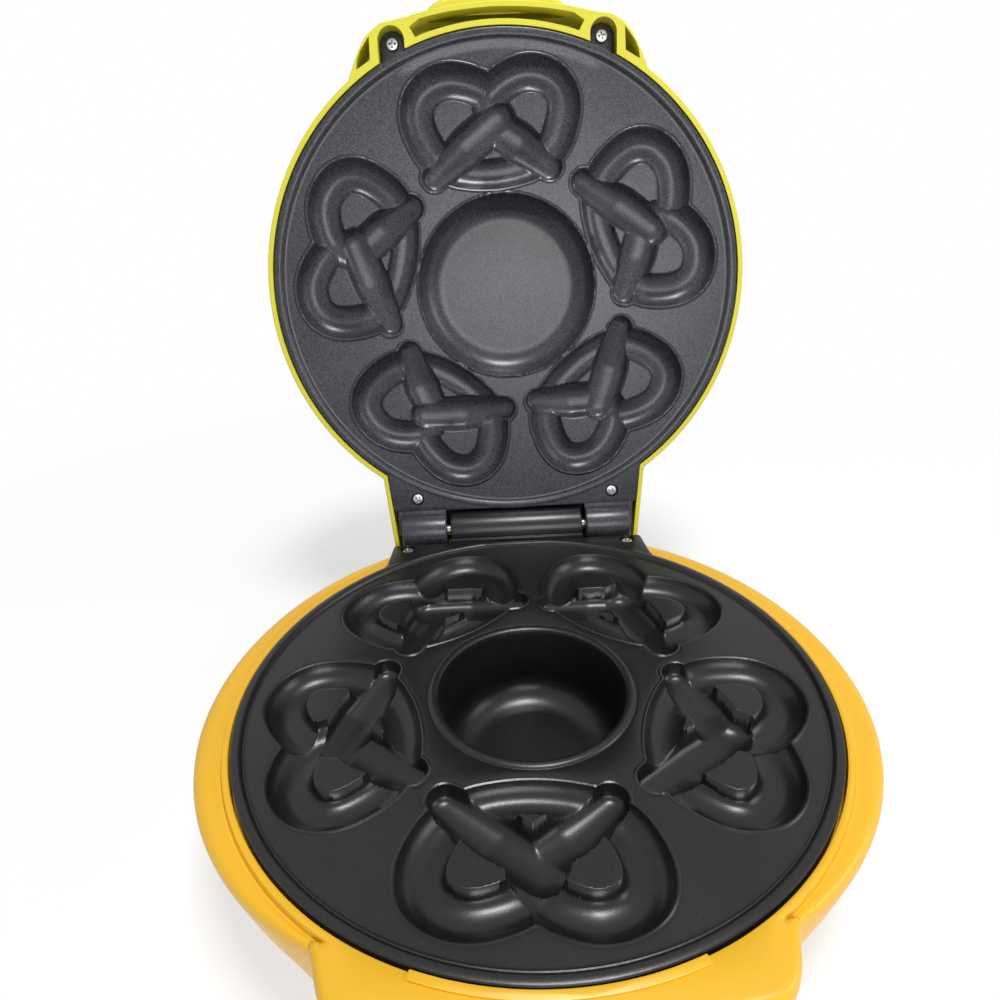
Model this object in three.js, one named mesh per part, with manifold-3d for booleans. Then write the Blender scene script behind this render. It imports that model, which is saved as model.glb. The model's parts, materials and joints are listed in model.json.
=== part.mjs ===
// Soft pretzel maker: two hinged halves, each a plastic housing round a cast plate with five pretzel moulds.
// Millimetres, +Z up, the front faces -Y. The lid stands open on its stops.
// Until the last lines the parting plane of the closed plates is z = 0 and the plate centre is the origin.

import * as THREE from 'three';
import { mergeVertices } from 'three/addons/utils/BufferGeometryUtils.js';
import Module from 'manifold-3d';

const wasm = await Module();
wasm.setup();

// Driving dimensions of the whole object
const plateRadius = 118;
const openAngle = THREE.MathUtils.degToRad(102);
const patternTurn = THREE.MathUtils.degToRad(-3.3);
const mouldCount = 5;
const roundFacets = 36;
const floorFacets = 4;
const loopSteps = 16;
const armSteps = 2;
const partingGap = 0.3;
const fitGap = 0.3;
const looseGap = 0.8;
const wall = 2.4;
const overrun = 4;

// Hinge
const hingeOverhang = 10.8;
const hingeZ = 1;
const barrelRadius = 9.9;
const pinRadius = 3;
const centreKnuckleHalf = 36;
const knuckleGap = 2.1;
const outerKnuckleEnd = 62.5;

// Cast plates
const ringHeight = 1.5;
const ringTopWidth = 2.6;
const ringFlank = 2;
const plateWeb = 2.8;
const skirtDepth = 9;
const skirtWall = 3;
const tongueThickness = 5;
const tongueFrontHalf = 69.2;
const tongueRearHalf = 66.8;
const tongueCornerOverhang = 0.34;
const lowerTongueInset = 1.8;
const upperTongueInset = 0.8;
const upperCheekOverhang = 13;
const upperCheekHalf = 65;
const wellRadius = 36.8;
const wellFloorRadius = 22;
const wellDepth = 36;
const wellWall = 2.4;
const recessRadius = 44.2;
const recessFloorRadius = 33;
const recessDepth = 12.5;
const beadWidth = 1.9;
const beadHeight = 0.8;

// Pretzel moulds
const strandRadius = 8.2;
const bowRadius = 7.1;
const armEndRadius = 5.6;
const armRadius = 7.5;
const armDrop = 3.4;
const crossingDrop = 1;
const mouldWall = 2.6;
const earRadius = 5.8;
const earThickness = 3;
const earX = 50.2;
const earInset = 4.1;

// Base housing
const collarWidth = 2.6;
const collarDrop = 1.5;
const collarStep = 3;
const brimOverhang = 11.4;
const brimEdge = 3.6;
const brimTop = 4;
const baseDepth = 57;
const baseFloorInset = 28.8;
const baseWaistInset = 11.8;
const baseWaistDepth = 32;
const ledgeWidth = 4.6;
const ledgeThickness = 2.4;
const rearWallInset = 1.5;
const rearCutHalf = 68.6;
const blockDepth = 40;
const blockBevel = 2.4;
const blockTaper = 13;
const blockStraight = 12;
const deckLipHeight = 0.8;
const deckLipHalf = 41.3;
const coverThickness = 2.4;
const footRadius = 8;
const footHeight = 5;
const footInset = 9;
const footFrontTurn = THREE.MathUtils.degToRad(49.3);
const footRearTurn = THREE.MathUtils.degToRad(61);
const postRadius = 5.6;
const postBite = 1.6;
const postHeight = 13;
const bossRadius = 4.2;

// Lid housing
const lidRimWidth = 2.4;
const lidShoulderHeight = 27;
const lidHeight = 46;
const lidShoulderInset = 4.2;
const lidTopInset = 33;
const lidBlockHeight = 26;
const lidBlockRound = 8;
const pocketDepth = 20;
const lidTailOverhang = 24.4;
const lidTailHeight = 27;
const lidTailRound = 15;
const lidTailHalf = 67.6;
const lidTailFrontHalf = 71.6;
const stopLugInner = 41;
const stopLugOuter = 60;
const gripOverhang = 7.5;
const gripHalf = 36;
const gripLow = 9;
const gripHigh = 19;

// Plan of the front block, which both housings share
const blockCornerX = 71.4;
const blockCornerOverhang = 2.04;
const blockSideX = 67.6;
const blockSideInset = 10;
const blockShoulderX = 60.4;
const blockShoulderInset = 0.6;
const blockFrontOverhang = 11;
const blockFrontX = 47.2;
const blockFrontEdgeOverhang = 4.4;

// Fasteners
const screwHeadRadius = 3.1;
const screwHeadHeight = 1.9;
const screwShankRadius = 1.5;
const screwLength = 9;
const upperTongueScrewX = 53.5;
const upperTongueScrewInset = 7.6;
const lowerTongueScrewX = 59.2;
const lowerTongueScrewInset = 5.8;
const screwSink = 0.8;

// Heating and wiring
const elementInset = 44;
const elementRadius = 3.4;
const elementLead = 10;
const tailRoom = 7.6;
const leadGap = 5.3;
const clipThickness = 1;
const clipLength = 6;
const clipFlange = 5;
const shieldThickness = 0.8;
const shieldGap = 3;
const shieldClearance = 1.6;
const controlInset = 18;
const thermostatRadius = 8;
const thermostatHeight = 4;
const thermostatBaseRadius = 6.6;
const thermostatBaseHeight = 5;
const thermostatEarHalf = 11.4;
const thermostatEarWidth = 6;
const thermostatEarThickness = 1;
const fuseRadius = 2.6;
const fuseLength = 16;
const fuseNeck = 1;
const terminalWidth = 32;
const terminalDepth = 14;
const terminalHeight = 13;
const terminalInset = 8;
const terminalWells = 3;
const terminalWellHalf = 3.4;
const terminalWellDepth = 7;
const wireRadius = 1.4;
const wireSlack = 9;
const glandRadius = 6;
const glandBore = 3.5;
const glandFlange = 8.6;
const glandFlangeLength = 2;
const glandLength = 16;
const glandX = 38;
const glandDepth = 43;
const glandBossHalf = 13;
const glandBossReach = 24;
const lampRadius = 3.6;
const lampFlange = 5;
const lampFlangeHeight = 1.4;
const lampBodyLength = 13;
const lampSpacing = 18;
const lampY = 62;
const ventPitch = 7.2;
const ventWidth = 2.4;
const ventLength = 32;
const ventCount = 7;

// Places in plan, worked out from the plate's edge
const beyondPlate = (overhang, x) => Math.sqrt((plateRadius + overhang) ** 2 - x ** 2);
const hingeY = plateRadius + hingeOverhang;
const tongueFrontY = beyondPlate(tongueCornerOverhang, tongueFrontHalf);
const lowerTongueY = plateRadius - lowerTongueInset;
const upperTongueY = plateRadius - upperTongueInset;
const upperCheekY = plateRadius + upperCheekOverhang;
const upperTongueScrewY = plateRadius - upperTongueScrewInset;
const lowerTongueScrewY = plateRadius - lowerTongueScrewInset;
const earY = plateRadius - earInset;
const rearWallY = plateRadius - rearWallInset;
const lidTailY = plateRadius + lidTailOverhang;
const blockCornerY = beyondPlate(blockCornerOverhang, blockCornerX);
const blockSideY = plateRadius - blockSideInset;
const blockShoulderY = plateRadius - blockShoulderInset;
const blockFrontY = plateRadius + blockFrontOverhang;
const blockFrontEdgeY = plateRadius + blockFrontEdgeOverhang;
const elementRing = plateRadius - elementInset;
const controlRing = plateRadius - controlInset;
const terminalY = elementRing - terminalInset;

// Levels worked out from the sizes above, as depths below the parting plane
const ringTop = partingGap;
const face = ringTop + ringHeight;
const webBack = face + plateWeb;
const skirtEnd = ringTop + skirtDepth;
const mouldDepth = armDrop + armRadius;
const mouldBack = face + mouldDepth + mouldWall;
const loopBack = face + strandRadius + mouldWall;
const openingRadius = plateRadius + looseGap;
const collarRadius = openingRadius + collarWidth;
const brimRadius = collarRadius + brimOverhang;
const baseFloorRadius = brimRadius - baseFloorInset;
const baseWaistRadius = brimRadius - baseWaistInset;
const postRing = baseFloorRadius - wall - postRadius + postBite;
const footRing = baseFloorRadius - footInset;
const gripReach = blockFrontY + gripOverhang;
const shieldRadius = plateRadius - skirtWall - shieldClearance;
const lidShoulderRadius = openingRadius + lidRimWidth - lidShoulderInset;
const lidTopRadius = lidShoulderRadius - lidTopInset;
const ledgeTop = skirtEnd + fitGap;
const ledgeRadius = openingRadius - ledgeWidth;
const ledgeBack = ledgeTop + ledgeThickness;
const brimSurface = collarDrop + collarStep;
const seatDepth = ringTop + tongueThickness + fitGap;
const tongueSeatDepth = ringTop + screwSink;
const elementLevel = mouldBack + fitGap + elementRadius;
const shieldFloor = elementLevel + elementRadius + shieldGap;
const terminalFloor = -baseDepth + coverThickness + fitGap;
const lowerElementTail = -terminalFloor - terminalHeight - leadGap - elementLevel;
const upperElementTail = lidHeight - wall - tailRoom - elementLevel;

// Pretzel strands in shares of the plate radius: first share to the right, second share outwards,
// seen from the open side of the upper plate. Each arm starts at its free end.
const loopShares = [
  [0.06, 0.695], [0.015, 0.75], [-0.06, 0.795], [-0.17, 0.826], [-0.27, 0.785], [-0.305, 0.7],
  [-0.28, 0.605], [-0.235, 0.535], [-0.15, 0.48], [0, 0.457],
  [0.15, 0.48], [0.235, 0.535], [0.28, 0.605], [0.305, 0.7], [0.27, 0.785], [0.17, 0.826],
];
const leftArmShares = [[-0.262, 0.463], [-0.16, 0.53], [-0.05, 0.605], [0.03, 0.66]];
const rightArmShares = [[0.228, 0.461], [0.15, 0.53], [0.06, 0.6], [-0.015, 0.66]];
const crossingShares = [[-0.035, 0.69], [0.005, 0.755], [0.08, 0.803], [0.18, 0.826]];
const endAngleShares = [0.6];

// Outline of one mould in the same shares: a lobe from the cusp to the arm's end, and the edge at the bow
const lobeShares = [
  [0.0, 0.857], [0.1, 0.9], [0.2, 0.908], [0.3, 0.873],
  [0.368, 0.79], [0.385, 0.7], [0.362, 0.595], [0.318, 0.515],
];
const bowEdgeShares = [[-0.205, 0.42], [0, 0.393], [0.18, 0.418]];
const leftCornerShares = [[-0.315, 0.455], [-0.275, 0.41]];
const rightCornerShares = [[0.25, 0.406], [0.285, 0.455]];
const armPadShares = [
  [-0.325, 0.475], [-0.06, 0.73], [0.06, 0.73], [0.295, 0.475], [0.24, 0.408], [-0.27, 0.408],
];

// Geometry helpers
function closedIndex(geometry) {
  const bare = geometry.clone();
  bare.deleteAttribute('normal');
  bare.deleteAttribute('uv');
  const merged = mergeVertices(bare);
  const place = merged.getAttribute('position');
  const index = Array.from(merged.index.array);
  const a = new THREE.Vector3();
  const b = new THREE.Vector3();
  const c = new THREE.Vector3();
  const kept = [];
  let volume = 0;
  for (let i = 0; i < index.length; i += 3) {
    const [i0, i1, i2] = [index[i], index[i + 1], index[i + 2]];
    if (i0 === i1 || i1 === i2 || i2 === i0) continue;
    a.fromBufferAttribute(place, i0);
    b.fromBufferAttribute(place, i1);
    c.fromBufferAttribute(place, i2);
    volume += a.dot(b.cross(c));
    kept.push(i0, i1, i2);
  }
  if (volume < 0) kept.reverse();
  return { place, kept };
}

function solid(geometry) {
  const { place, kept } = closedIndex(geometry);
  const mesh = new wasm.Mesh({
    numProp: 3,
    vertProperties: new Float32Array(place.array),
    triVerts: new Uint32Array(kept),
  });
  return new wasm.Manifold(mesh);
}

function geometryOf(body) {
  const mesh = body.getMesh();
  const geometry = new THREE.BufferGeometry();
  geometry.setAttribute('position', new THREE.BufferAttribute(new Float32Array(mesh.vertProperties), 3));
  geometry.setIndex(new THREE.BufferAttribute(new Uint32Array(mesh.triVerts), 1));
  return geometry;
}

function join(...geometries) {
  return geometries.map(solid).reduce((sum, next) => sum.add(next));
}

function cut(body, ...geometries) {
  return geometries.map(solid).reduce((rest, next) => rest.subtract(next), body);
}

function turned(points, segments = roundFacets) {
  const profile = points.map(([radius, height]) => new THREE.Vector2(radius, height));
  return new THREE.LatheGeometry(profile, segments).rotateX(Math.PI / 2);
}

function rod(radius, low, high, x = 0, y = 0, segments = 20) {
  const geometry = new THREE.CylinderGeometry(radius, radius, high - low, segments).rotateX(Math.PI / 2);
  return geometry.translate(x, y, (low + high) / 2);
}

function rodAlongX(radius, from, to, y, z, segments = 28) {
  const geometry = new THREE.CylinderGeometry(radius, radius, to - from, segments).rotateZ(Math.PI / 2);
  return geometry.translate((from + to) / 2, y, z);
}

function rodAlongY(radius, from, to, x, z, segments = 20) {
  return new THREE.CylinderGeometry(radius, radius, to - from, segments).translate(x, (from + to) / 2, z);
}

function block(x0, x1, y0, y1, z0, z1) {
  const geometry = new THREE.BoxGeometry(x1 - x0, y1 - y0, z1 - z0);
  return geometry.translate((x0 + x1) / 2, (y0 + y1) / 2, (z0 + z1) / 2);
}

function prism(points, low, high) {
  const shape = new THREE.Shape(points.map(([x, y]) => new THREE.Vector2(x, y)));
  return new THREE.ExtrudeGeometry(shape, { depth: high - low, bevelEnabled: false }).translate(0, 0, low);
}

function mirroredUp(geometry) {
  const flipped = geometry.clone().scale(1, 1, -1);
  const index = Array.from(flipped.index.array);
  flipped.setIndex(index.reverse());
  return flipped;
}

function arc(cx, cy, radius, from, to, steps) {
  const points = [];
  for (let i = 0; i <= steps; i += 1) {
    const angle = from + ((to - from) * i) / steps;
    points.push([cx + radius * Math.cos(angle), cy + radius * Math.sin(angle)]);
  }
  return points;
}

function grown(points, margin) {
  return points.map(([x, y], i) => {
    const [px, py] = points[(i + points.length - 1) % points.length];
    const [nx, ny] = points[(i + 1) % points.length];
    const length = Math.hypot(nx - px, ny - py);
    return [x + (margin * (ny - py)) / length, y - (margin * (nx - px)) / length];
  });
}

function mesh(name, geometry, material) {
  const result = new THREE.Mesh(geometry, material);
  result.name = name;
  return result;
}

// Materials
const baseYellow = new THREE.MeshStandardMaterial({ color: 0xf7c02c, roughness: 0.38, metalness: 0 });
const lidYellow = new THREE.MeshStandardMaterial({ color: 0xeee03a, roughness: 0.38, metalness: 0 });
const nonStick = new THREE.MeshStandardMaterial({ color: 0x37383b, roughness: 0.5, metalness: 0.2 });
const brightSteel = new THREE.MeshStandardMaterial({ color: 0xc9cbce, roughness: 0.3, metalness: 1 });
const sheetAluminium = new THREE.MeshStandardMaterial({ color: 0xb4b7ba, roughness: 0.45, metalness: 1 });
const sheathMetal = new THREE.MeshStandardMaterial({ color: 0x6d6a66, roughness: 0.55, metalness: 0.8 });
const blackPlastic = new THREE.MeshStandardMaterial({ color: 0x1d1d1f, roughness: 0.55, metalness: 0 });
const whitePlastic = new THREE.MeshStandardMaterial({ color: 0xe8e6e0, roughness: 0.5, metalness: 0 });
const greyRubber = new THREE.MeshStandardMaterial({ color: 0x2a2a2b, roughness: 0.85, metalness: 0 });
const redLens = new THREE.MeshStandardMaterial({ color: 0xb3261e, roughness: 0.2, metalness: 0 });
const greenLens = new THREE.MeshStandardMaterial({ color: 0x2f8f46, roughness: 0.2, metalness: 0 });
const wireCover = new THREE.MeshStandardMaterial({ color: 0xe4e2dc, roughness: 0.6, metalness: 0 });

// Pretzel moulds, built at the front and turned into place
const atPlate = ([right, outward]) => [right * plateRadius, -outward * plateRadius];

function turnedToMould(geometry, number) {
  return geometry.clone().rotateZ(patternTurn + (number * 2 * Math.PI) / mouldCount);
}

// A trough runs through stations along a strand. Its floor is half round, and its walls go up past the
// face, so every mould stays open.
function trough(stations) {
  return loft(stations.map(({ x, y, heading, radius, drop }) => {
    const floor = arc(0, -face - drop, radius, Math.PI, 2 * Math.PI, floorFacets);
    const section = [[-radius, overrun], ...floor, [radius, overrun]];
    return section.map(([side, z]) => [x - side * Math.sin(heading), y + side * Math.cos(heading), z]);
  }));
}

// A closed skin through rings that all have the same number of points
function loft(rings) {
  const size = rings[0].length;
  const index = [];
  for (let i = 0; i + 1 < rings.length; i += 1) {
    for (let j = 0; j < size; j += 1) {
      const a = i * size + j;
      const b = i * size + ((j + 1) % size);
      index.push(a, b, a + size, b, b + size, a + size);
    }
  }
  const last = (rings.length - 1) * size;
  for (let j = 1; j + 1 < size; j += 1) {
    index.push(0, j + 1, j, last, last + j, last + j + 1);
  }
  const geometry = new THREE.BufferGeometry();
  geometry.setAttribute('position', new THREE.Float32BufferAttribute(rings.flat(2), 3));
  geometry.setIndex(index);
  return geometry;
}

// Stations along a smooth path; radius and drop are given for any share of the way along it
function stationsAlong(shares, steps, radiusAt, dropAt) {
  const points = shares.map(atPlate).map(([x, y]) => new THREE.Vector3(x, y, 0));
  const path = new THREE.CatmullRomCurve3(points);
  const stations = [];
  for (let i = 0; i <= steps; i += 1) {
    const share = i / steps;
    const point = path.getPointAt(share);
    const tangent = path.getTangentAt(share);
    const heading = Math.atan2(tangent.y, tangent.x);
    stations.push({ x: point.x, y: point.y, heading, radius: radiusAt(share), drop: dropAt(share) });
  }
  return stations;
}

// A round end past a station, as slices of a ball
function roundEnd({ x, y, heading, radius, drop }, way) {
  return endAngleShares.map((share) => {
    const angle = (Math.PI / 2) * share;
    const reach = way * radius * Math.sin(angle);
    const slice = radius * Math.cos(angle);
    return { x: x + reach * Math.cos(heading), y: y + reach * Math.sin(heading), heading, radius: slice, drop };
  });
}

function loopsCutter() {
  const swell = strandRadius - bowRadius;
  const radiusAt = (share) => bowRadius + swell * Math.min(1, Math.abs(share - 0.5) * 4);
  return trough(stationsAlong(loopShares, loopSteps, radiusAt, () => 0));
}

function armCutter(shares, fromRadius, fromDrop, endDrop) {
  const radiusAt = (share) => fromRadius + (armRadius - fromRadius) * Math.min(1, share * 2);
  const dropAt = (share) => fromDrop + (endDrop - fromDrop) * share;
  const stations = stationsAlong(shares, armSteps, radiusAt, dropAt);
  const first = roundEnd(stations[0], -1).reverse();
  const last = roundEnd(stations[stations.length - 1], 1);
  return trough([...first, ...stations, ...last]);
}

function mouldPad() {
  const lobe = lobeShares.map(atPlate);
  const leftLobe = lobe.map(([x, y]) => [-x, y]);
  const corners = [...leftCornerShares, ...bowEdgeShares, ...rightCornerShares].map(atPlate);
  const heart = [...leftLobe, ...corners, ...lobe.slice(1).reverse()].reverse();
  return join(
    prism(grown(heart, mouldWall / 2), -loopBack, -face - plateWeb / 2),
    prism(armPadShares.map(atPlate).reverse(), -mouldBack, -face - plateWeb / 2),
  );
}

const mouldCutter = geometryOf(join(
  loopsCutter(),
  armCutter(leftArmShares, armEndRadius, armDrop, armDrop),
  armCutter(rightArmShares, armEndRadius, armDrop, armDrop),
  armCutter(crossingShares, armRadius, armDrop / 2, crossingDrop),
));
const mouldBody = geometryOf(mouldPad());

function quarterBowl(radius, floorRadius, depth) {
  const corner = radius - floorRadius;
  const bend = arc(floorRadius, -face - depth + corner, corner, -Math.PI / 2, 0, 4);
  return [[0, -face - depth], ...bend, [radius, -face]];
}

// One cast plate seen as the lower one: face up, moulds below the face
function castPlate(bowl, bowlRadius, bowlBack) {
  const rimTop = -face + beadHeight;
  const profile = [
    ...bowl,
    [bowlRadius, rimTop],
    [bowlRadius + beadWidth, rimTop],
    [bowlRadius + beadWidth, -face],
    [plateRadius - ringTopWidth - ringFlank, -face],
    [plateRadius - ringTopWidth, -ringTop],
    [plateRadius, -ringTop],
    [plateRadius, -skirtEnd],
    [plateRadius - skirtWall, -skirtEnd],
    [plateRadius - skirtWall, -webBack],
    [bowlRadius + wellWall, -webBack],
    [bowlRadius + wellWall, -bowlBack + wellWall],
    [bowlRadius, -bowlBack],
    [0, -bowlBack],
  ];
  let body = join(turned(profile));
  for (let number = 0; number < mouldCount; number += 1) {
    body = body.add(solid(turnedToMould(mouldBody, number)));
  }
  for (let number = 0; number < mouldCount; number += 1) {
    body = body.subtract(solid(turnedToMould(mouldCutter, number)));
  }
  const bowlHollow = turned([...bowl, [bowlRadius, overrun], [0, overrun]]);
  return body.subtract(solid(bowlHollow));
}

function tonguePlan(rearY) {
  return [
    [-tongueFrontHalf, tongueFrontY],
    [tongueFrontHalf, tongueFrontY],
    [tongueRearHalf, rearY],
    [-tongueRearHalf, rearY],
  ];
}

const insidePlate = rod(plateRadius - ringTopWidth, -seatDepth - overrun, overrun, 0, 0, roundFacets);

function tongueBody(plan, low, high) {
  return join(prism(plan, low, high)).subtract(solid(insidePlate));
}

function screwHole(x, y, low, high) {
  return rod(screwShankRadius + fitGap, low, high, x, y, 12);
}

function screwSeat(x, y, low, high) {
  return rod(screwHeadRadius + fitGap, low, high, x, y);
}

// Lower plate with its tongue and the centre knuckle of the hinge
function lowerPlate() {
  const bowlBack = face + wellDepth + wellWall;
  const knuckleEnd = hingeY + barrelRadius;
  const low = -ringTop - tongueThickness;
  let body = castPlate(quarterBowl(wellRadius, wellFloorRadius, wellDepth), wellRadius, bowlBack);
  body = body.add(tongueBody(tonguePlan(lowerTongueY), low, -ringTop));
  const half = centreKnuckleHalf;
  body = body.add(join(
    block(-half, half, plateRadius - skirtWall + fitGap, hingeY, low, -ringTop),
    block(-half, half, upperTongueY + looseGap + fitGap, hingeY, hingeZ - barrelRadius, hingeZ),
    rodAlongX(barrelRadius, -half, half, hingeY, hingeZ),
  ));
  body = cut(body, rodAlongX(pinRadius + fitGap, -knuckleEnd, knuckleEnd, hingeY, hingeZ, 16));
  for (const side of [-1, 1]) {
    const x = side * lowerTongueScrewX;
    const seat = -tongueSeatDepth - screwHeadHeight - fitGap;
    body = cut(body, screwHole(x, lowerTongueScrewY, low - overrun, overrun));
    body = cut(body, screwSeat(x, lowerTongueScrewY, seat, overrun));
  }
  return body;
}

// Upper plate, still face up: mirrored later. It has the ears, a slotted tongue and the outer knuckles
function upperPlate() {
  const bowlBack = face + recessDepth + wellWall;
  const low = -ringTop - tongueThickness;
  const slotHalf = centreKnuckleHalf + knuckleGap;
  const level = -hingeZ;
  let body = castPlate(quarterBowl(recessRadius, recessFloorRadius, recessDepth), recessRadius, bowlBack);
  body = body.add(tongueBody(tonguePlan(upperTongueY), low, -ringTop));
  for (const side of [-1, 1]) {
    const [x0, x1] = side > 0 ? [slotHalf, outerKnuckleEnd] : [-outerKnuckleEnd, -slotHalf];
    const cheek0 = side * outerKnuckleEnd;
    const cheek1 = side * upperCheekHalf;
    const rail = upperTongueY - overrun;
    body = body.add(join(
      block(x0, x1, rail, hingeY, low, -ringTop),
      block(Math.min(cheek0, cheek1), Math.max(cheek0, cheek1), rail, upperCheekY, low, -ringTop),
      rodAlongX(barrelRadius, x0, x1, hingeY, level),
    ));
    const ear = [
      ...arc(side * earX, -earY, earRadius, Math.PI, 2 * Math.PI, 10),
      [side * earX + earRadius, -earY + ringHeight + earRadius * 2],
      [side * earX - earRadius, -earY + ringHeight + earRadius * 2],
    ];
    const earTop = -skirtEnd + earThickness / 3;
    const insideSkirt = rod(plateRadius - skirtWall, -skirtEnd - overrun, overrun, 0, 0, roundFacets);
    body = body.add(join(prism(ear, earTop - earThickness, earTop)).subtract(solid(insideSkirt)));
    body = cut(body, screwHole(side * earX, -earY, -skirtEnd - overrun, overrun));
    body = cut(body, screwHole(side * upperTongueScrewX, upperTongueScrewY, low - overrun, overrun));
    const seat = -tongueSeatDepth - screwHeadHeight - fitGap;
    body = cut(body, screwSeat(side * upperTongueScrewX, upperTongueScrewY, seat, overrun));
  }
  const boreEnd = outerKnuckleEnd + overrun;
  return cut(body, rodAlongX(pinRadius + fitGap, -boreEnd, boreEnd, hingeY, level, 16));
}

// Front block plan, shared by both housings; inset keeps the wall even
function blockPlan(inset) {
  const frontRise = blockFrontY - blockFrontEdgeY;
  const bow = (blockFrontX ** 2 + frontRise ** 2) / (2 * frontRise);
  const half = Math.asin(blockFrontX / bow);
  const front = arc(0, -blockFrontY + bow, bow, -Math.PI / 2 - half, -Math.PI / 2 + half, 10);
  const right = [[blockShoulderX, -blockShoulderY], [blockSideX, -blockSideY], [blockCornerX, -blockCornerY]];
  const left = right.map(([x, y]) => [-x, y]).reverse();
  const rear = [[blockCornerX / 2, -blockCornerY / 2], [-blockCornerX / 2, -blockCornerY / 2]];
  return grown([...left, ...front, ...right, ...rear], -inset);
}

// Brim narrows towards the front block, so the sides flare and the front runs into the block
function narrowFront(geometry, inset) {
  const place = geometry.getAttribute('position');
  const start = collarRadius - inset;
  const cornerAngle = Math.atan2(blockCornerY, blockCornerX);
  for (let i = 0; i < place.count; i += 1) {
    const x = place.getX(i);
    const y = place.getY(i);
    const radius = Math.hypot(x, y);
    if (y >= 0 || radius <= start) continue;
    const share = Math.min(1, Math.atan2(-y, Math.abs(x)) / cornerAngle);
    const keep = 1 - 0.7 * share * share;
    const scale = (start + (radius - start) * keep) / radius;
    place.setX(i, x * scale);
    place.setY(i, y * scale);
  }
  return geometry;
}

// The block drops straight from its bevelled edge, then draws in towards the body
function blockBody(levels) {
  return loft(levels.map(([z, inset]) => blockPlan(inset).map(([x, y]) => [x, y, z])));
}

function baseOutside() {
  return [
    [0, -baseDepth],
    [baseFloorRadius, -baseDepth],
    [(baseFloorRadius + baseWaistRadius) / 2 + wall, -(baseDepth + baseWaistDepth) / 2],
    [baseWaistRadius, -baseWaistDepth],
    [(baseWaistRadius + brimRadius) / 2 + wall / 2, -(baseWaistDepth + brimSurface + brimEdge) / 2],
    ...arc(brimRadius - brimEdge, -brimTop - brimEdge, brimEdge, -Math.PI / 6, Math.PI / 2, 5),
    [collarRadius, -brimSurface],
    [collarRadius, -collarDrop],
    [0, -collarDrop],
  ];
}

function baseHollow() {
  return [
    [0, -baseDepth - overrun],
    [baseFloorRadius - wall, -baseDepth - overrun],
    [baseFloorRadius - wall, -baseDepth + wall],
    [(baseFloorRadius + baseWaistRadius) / 2, -(baseDepth + baseWaistDepth) / 2],
    [baseWaistRadius - wall, -baseWaistDepth],
    [(baseWaistRadius + brimRadius) / 2 - wall, -(baseWaistDepth + brimSurface + brimEdge) / 2],
    [brimRadius - brimEdge - wall / 2, -brimTop - brimEdge - wall],
    [brimRadius - brimEdge - wall, -brimSurface - wall],
    [collarRadius, -brimSurface - wall],
    [collarRadius, -ledgeBack],
    [ledgeRadius, -ledgeBack],
    [ledgeRadius, overrun],
    [0, overrun],
  ];
}

// A flat-backed boss on the tapering rear wall, where the cord's gland is fitted
function glandBoss(inset) {
  const half = glandBossHalf - inset;
  const rear = rearWallY - inset;
  return block(glandX - half, glandX + half, rear - glandBossReach, rear, -baseDepth + inset, -baseWaistDepth - inset);
}

function baseHousing() {
  const outside = solid(narrowFront(turned(baseOutside()), 0));
  const shell = outside
    .add(solid(blockBody([
      [-blockDepth, blockTaper],
      [-blockStraight, 0],
      [-collarDrop - blockBevel, 0],
      [-collarDrop - blockBevel / 4, blockBevel / 3],
      [-collarDrop, blockBevel],
    ])))
    .add(solid(prism(grown(tonguePlan(rearWallY), wall), -ledgeBack, -collarDrop)))
    .add(solid(glandBoss(0)));
  const rearFar = brimRadius + overrun;
  const rearCut = block(-rearCutHalf, rearCutHalf, rearWallY, rearFar, -baseDepth - overrun, overrun);
  const keepRear = block(-rearCutHalf - wall, rearCutHalf + wall, rearWallY - wall, rearFar, -baseDepth, overrun);
  const keepTongue = prism(grown(tonguePlan(rearWallY), wall), -seatDepth - wall, overrun);
  const hollow = solid(narrowFront(turned(baseHollow()), wall))
    .add(solid(blockBody([
      [-blockDepth + wall, blockTaper + wall / 2],
      [-blockStraight, wall],
      [-collarDrop - wall - blockBevel / 2, wall],
    ])))
    .subtract(solid(keepRear))
    .add(solid(glandBoss(wall)))
    .subtract(solid(keepTongue).subtract(solid(rod(ledgeRadius, -baseDepth, overrun, 0, 0, roundFacets))));
  const ledgeRing = turned([
    [ledgeRadius, -ledgeBack], [collarRadius, -ledgeBack], [collarRadius, -collarDrop],
    [ledgeRadius, -collarDrop], [ledgeRadius, -ledgeBack],
  ]);
  let body = shell.subtract(solid(rearCut)).subtract(hollow).add(solid(ledgeRing));
  body = cut(body, block(-rearCutHalf, rearCutHalf, rearWallY, rearFar, -baseDepth - overrun, overrun));
  body = cut(
    body,
    rod(openingRadius, -ledgeTop, overrun, 0, 0, roundFacets),
    prism(grown(tonguePlan(rearWallY + overrun), looseGap), -seatDepth, overrun),
  );
  for (const side of [-1, 1]) {
    body = cut(body, screwHole(side * lowerTongueScrewX, lowerTongueScrewY, -ledgeBack - overrun, overrun));
  }
  for (const angle of postAngles) {
    const [x, y] = [postRing * Math.cos(angle), postRing * Math.sin(angle)];
    const foot = -baseDepth + coverThickness + fitGap;
    body = body.add(solid(rod(postRadius, foot, foot + postHeight, x, y, 12)));
    body = cut(body, screwHole(x, y, foot - overrun, foot + screwLength));
  }
  const lipEdge = Math.asin(deckLipHalf / openingRadius);
  const from = -Math.PI / 2 - lipEdge;
  const to = -Math.PI / 2 + lipEdge;
  const lip = [
    ...arc(0, 0, openingRadius - looseGap + fitGap, from, to, 20),
    ...arc(0, 0, collarRadius, to, from, 20),
  ];
  body = body.add(solid(prism(lip, -collarDrop - wall, -collarDrop + deckLipHeight)));
  return cut(body, rodAlongY(glandRadius + fitGap, rearWallY / 2, rearWallY + overrun, glandX, -glandDepth));
}

const postAngles = [0, 1, 2, 3].map((i) => (i * Math.PI) / 2);

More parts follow.
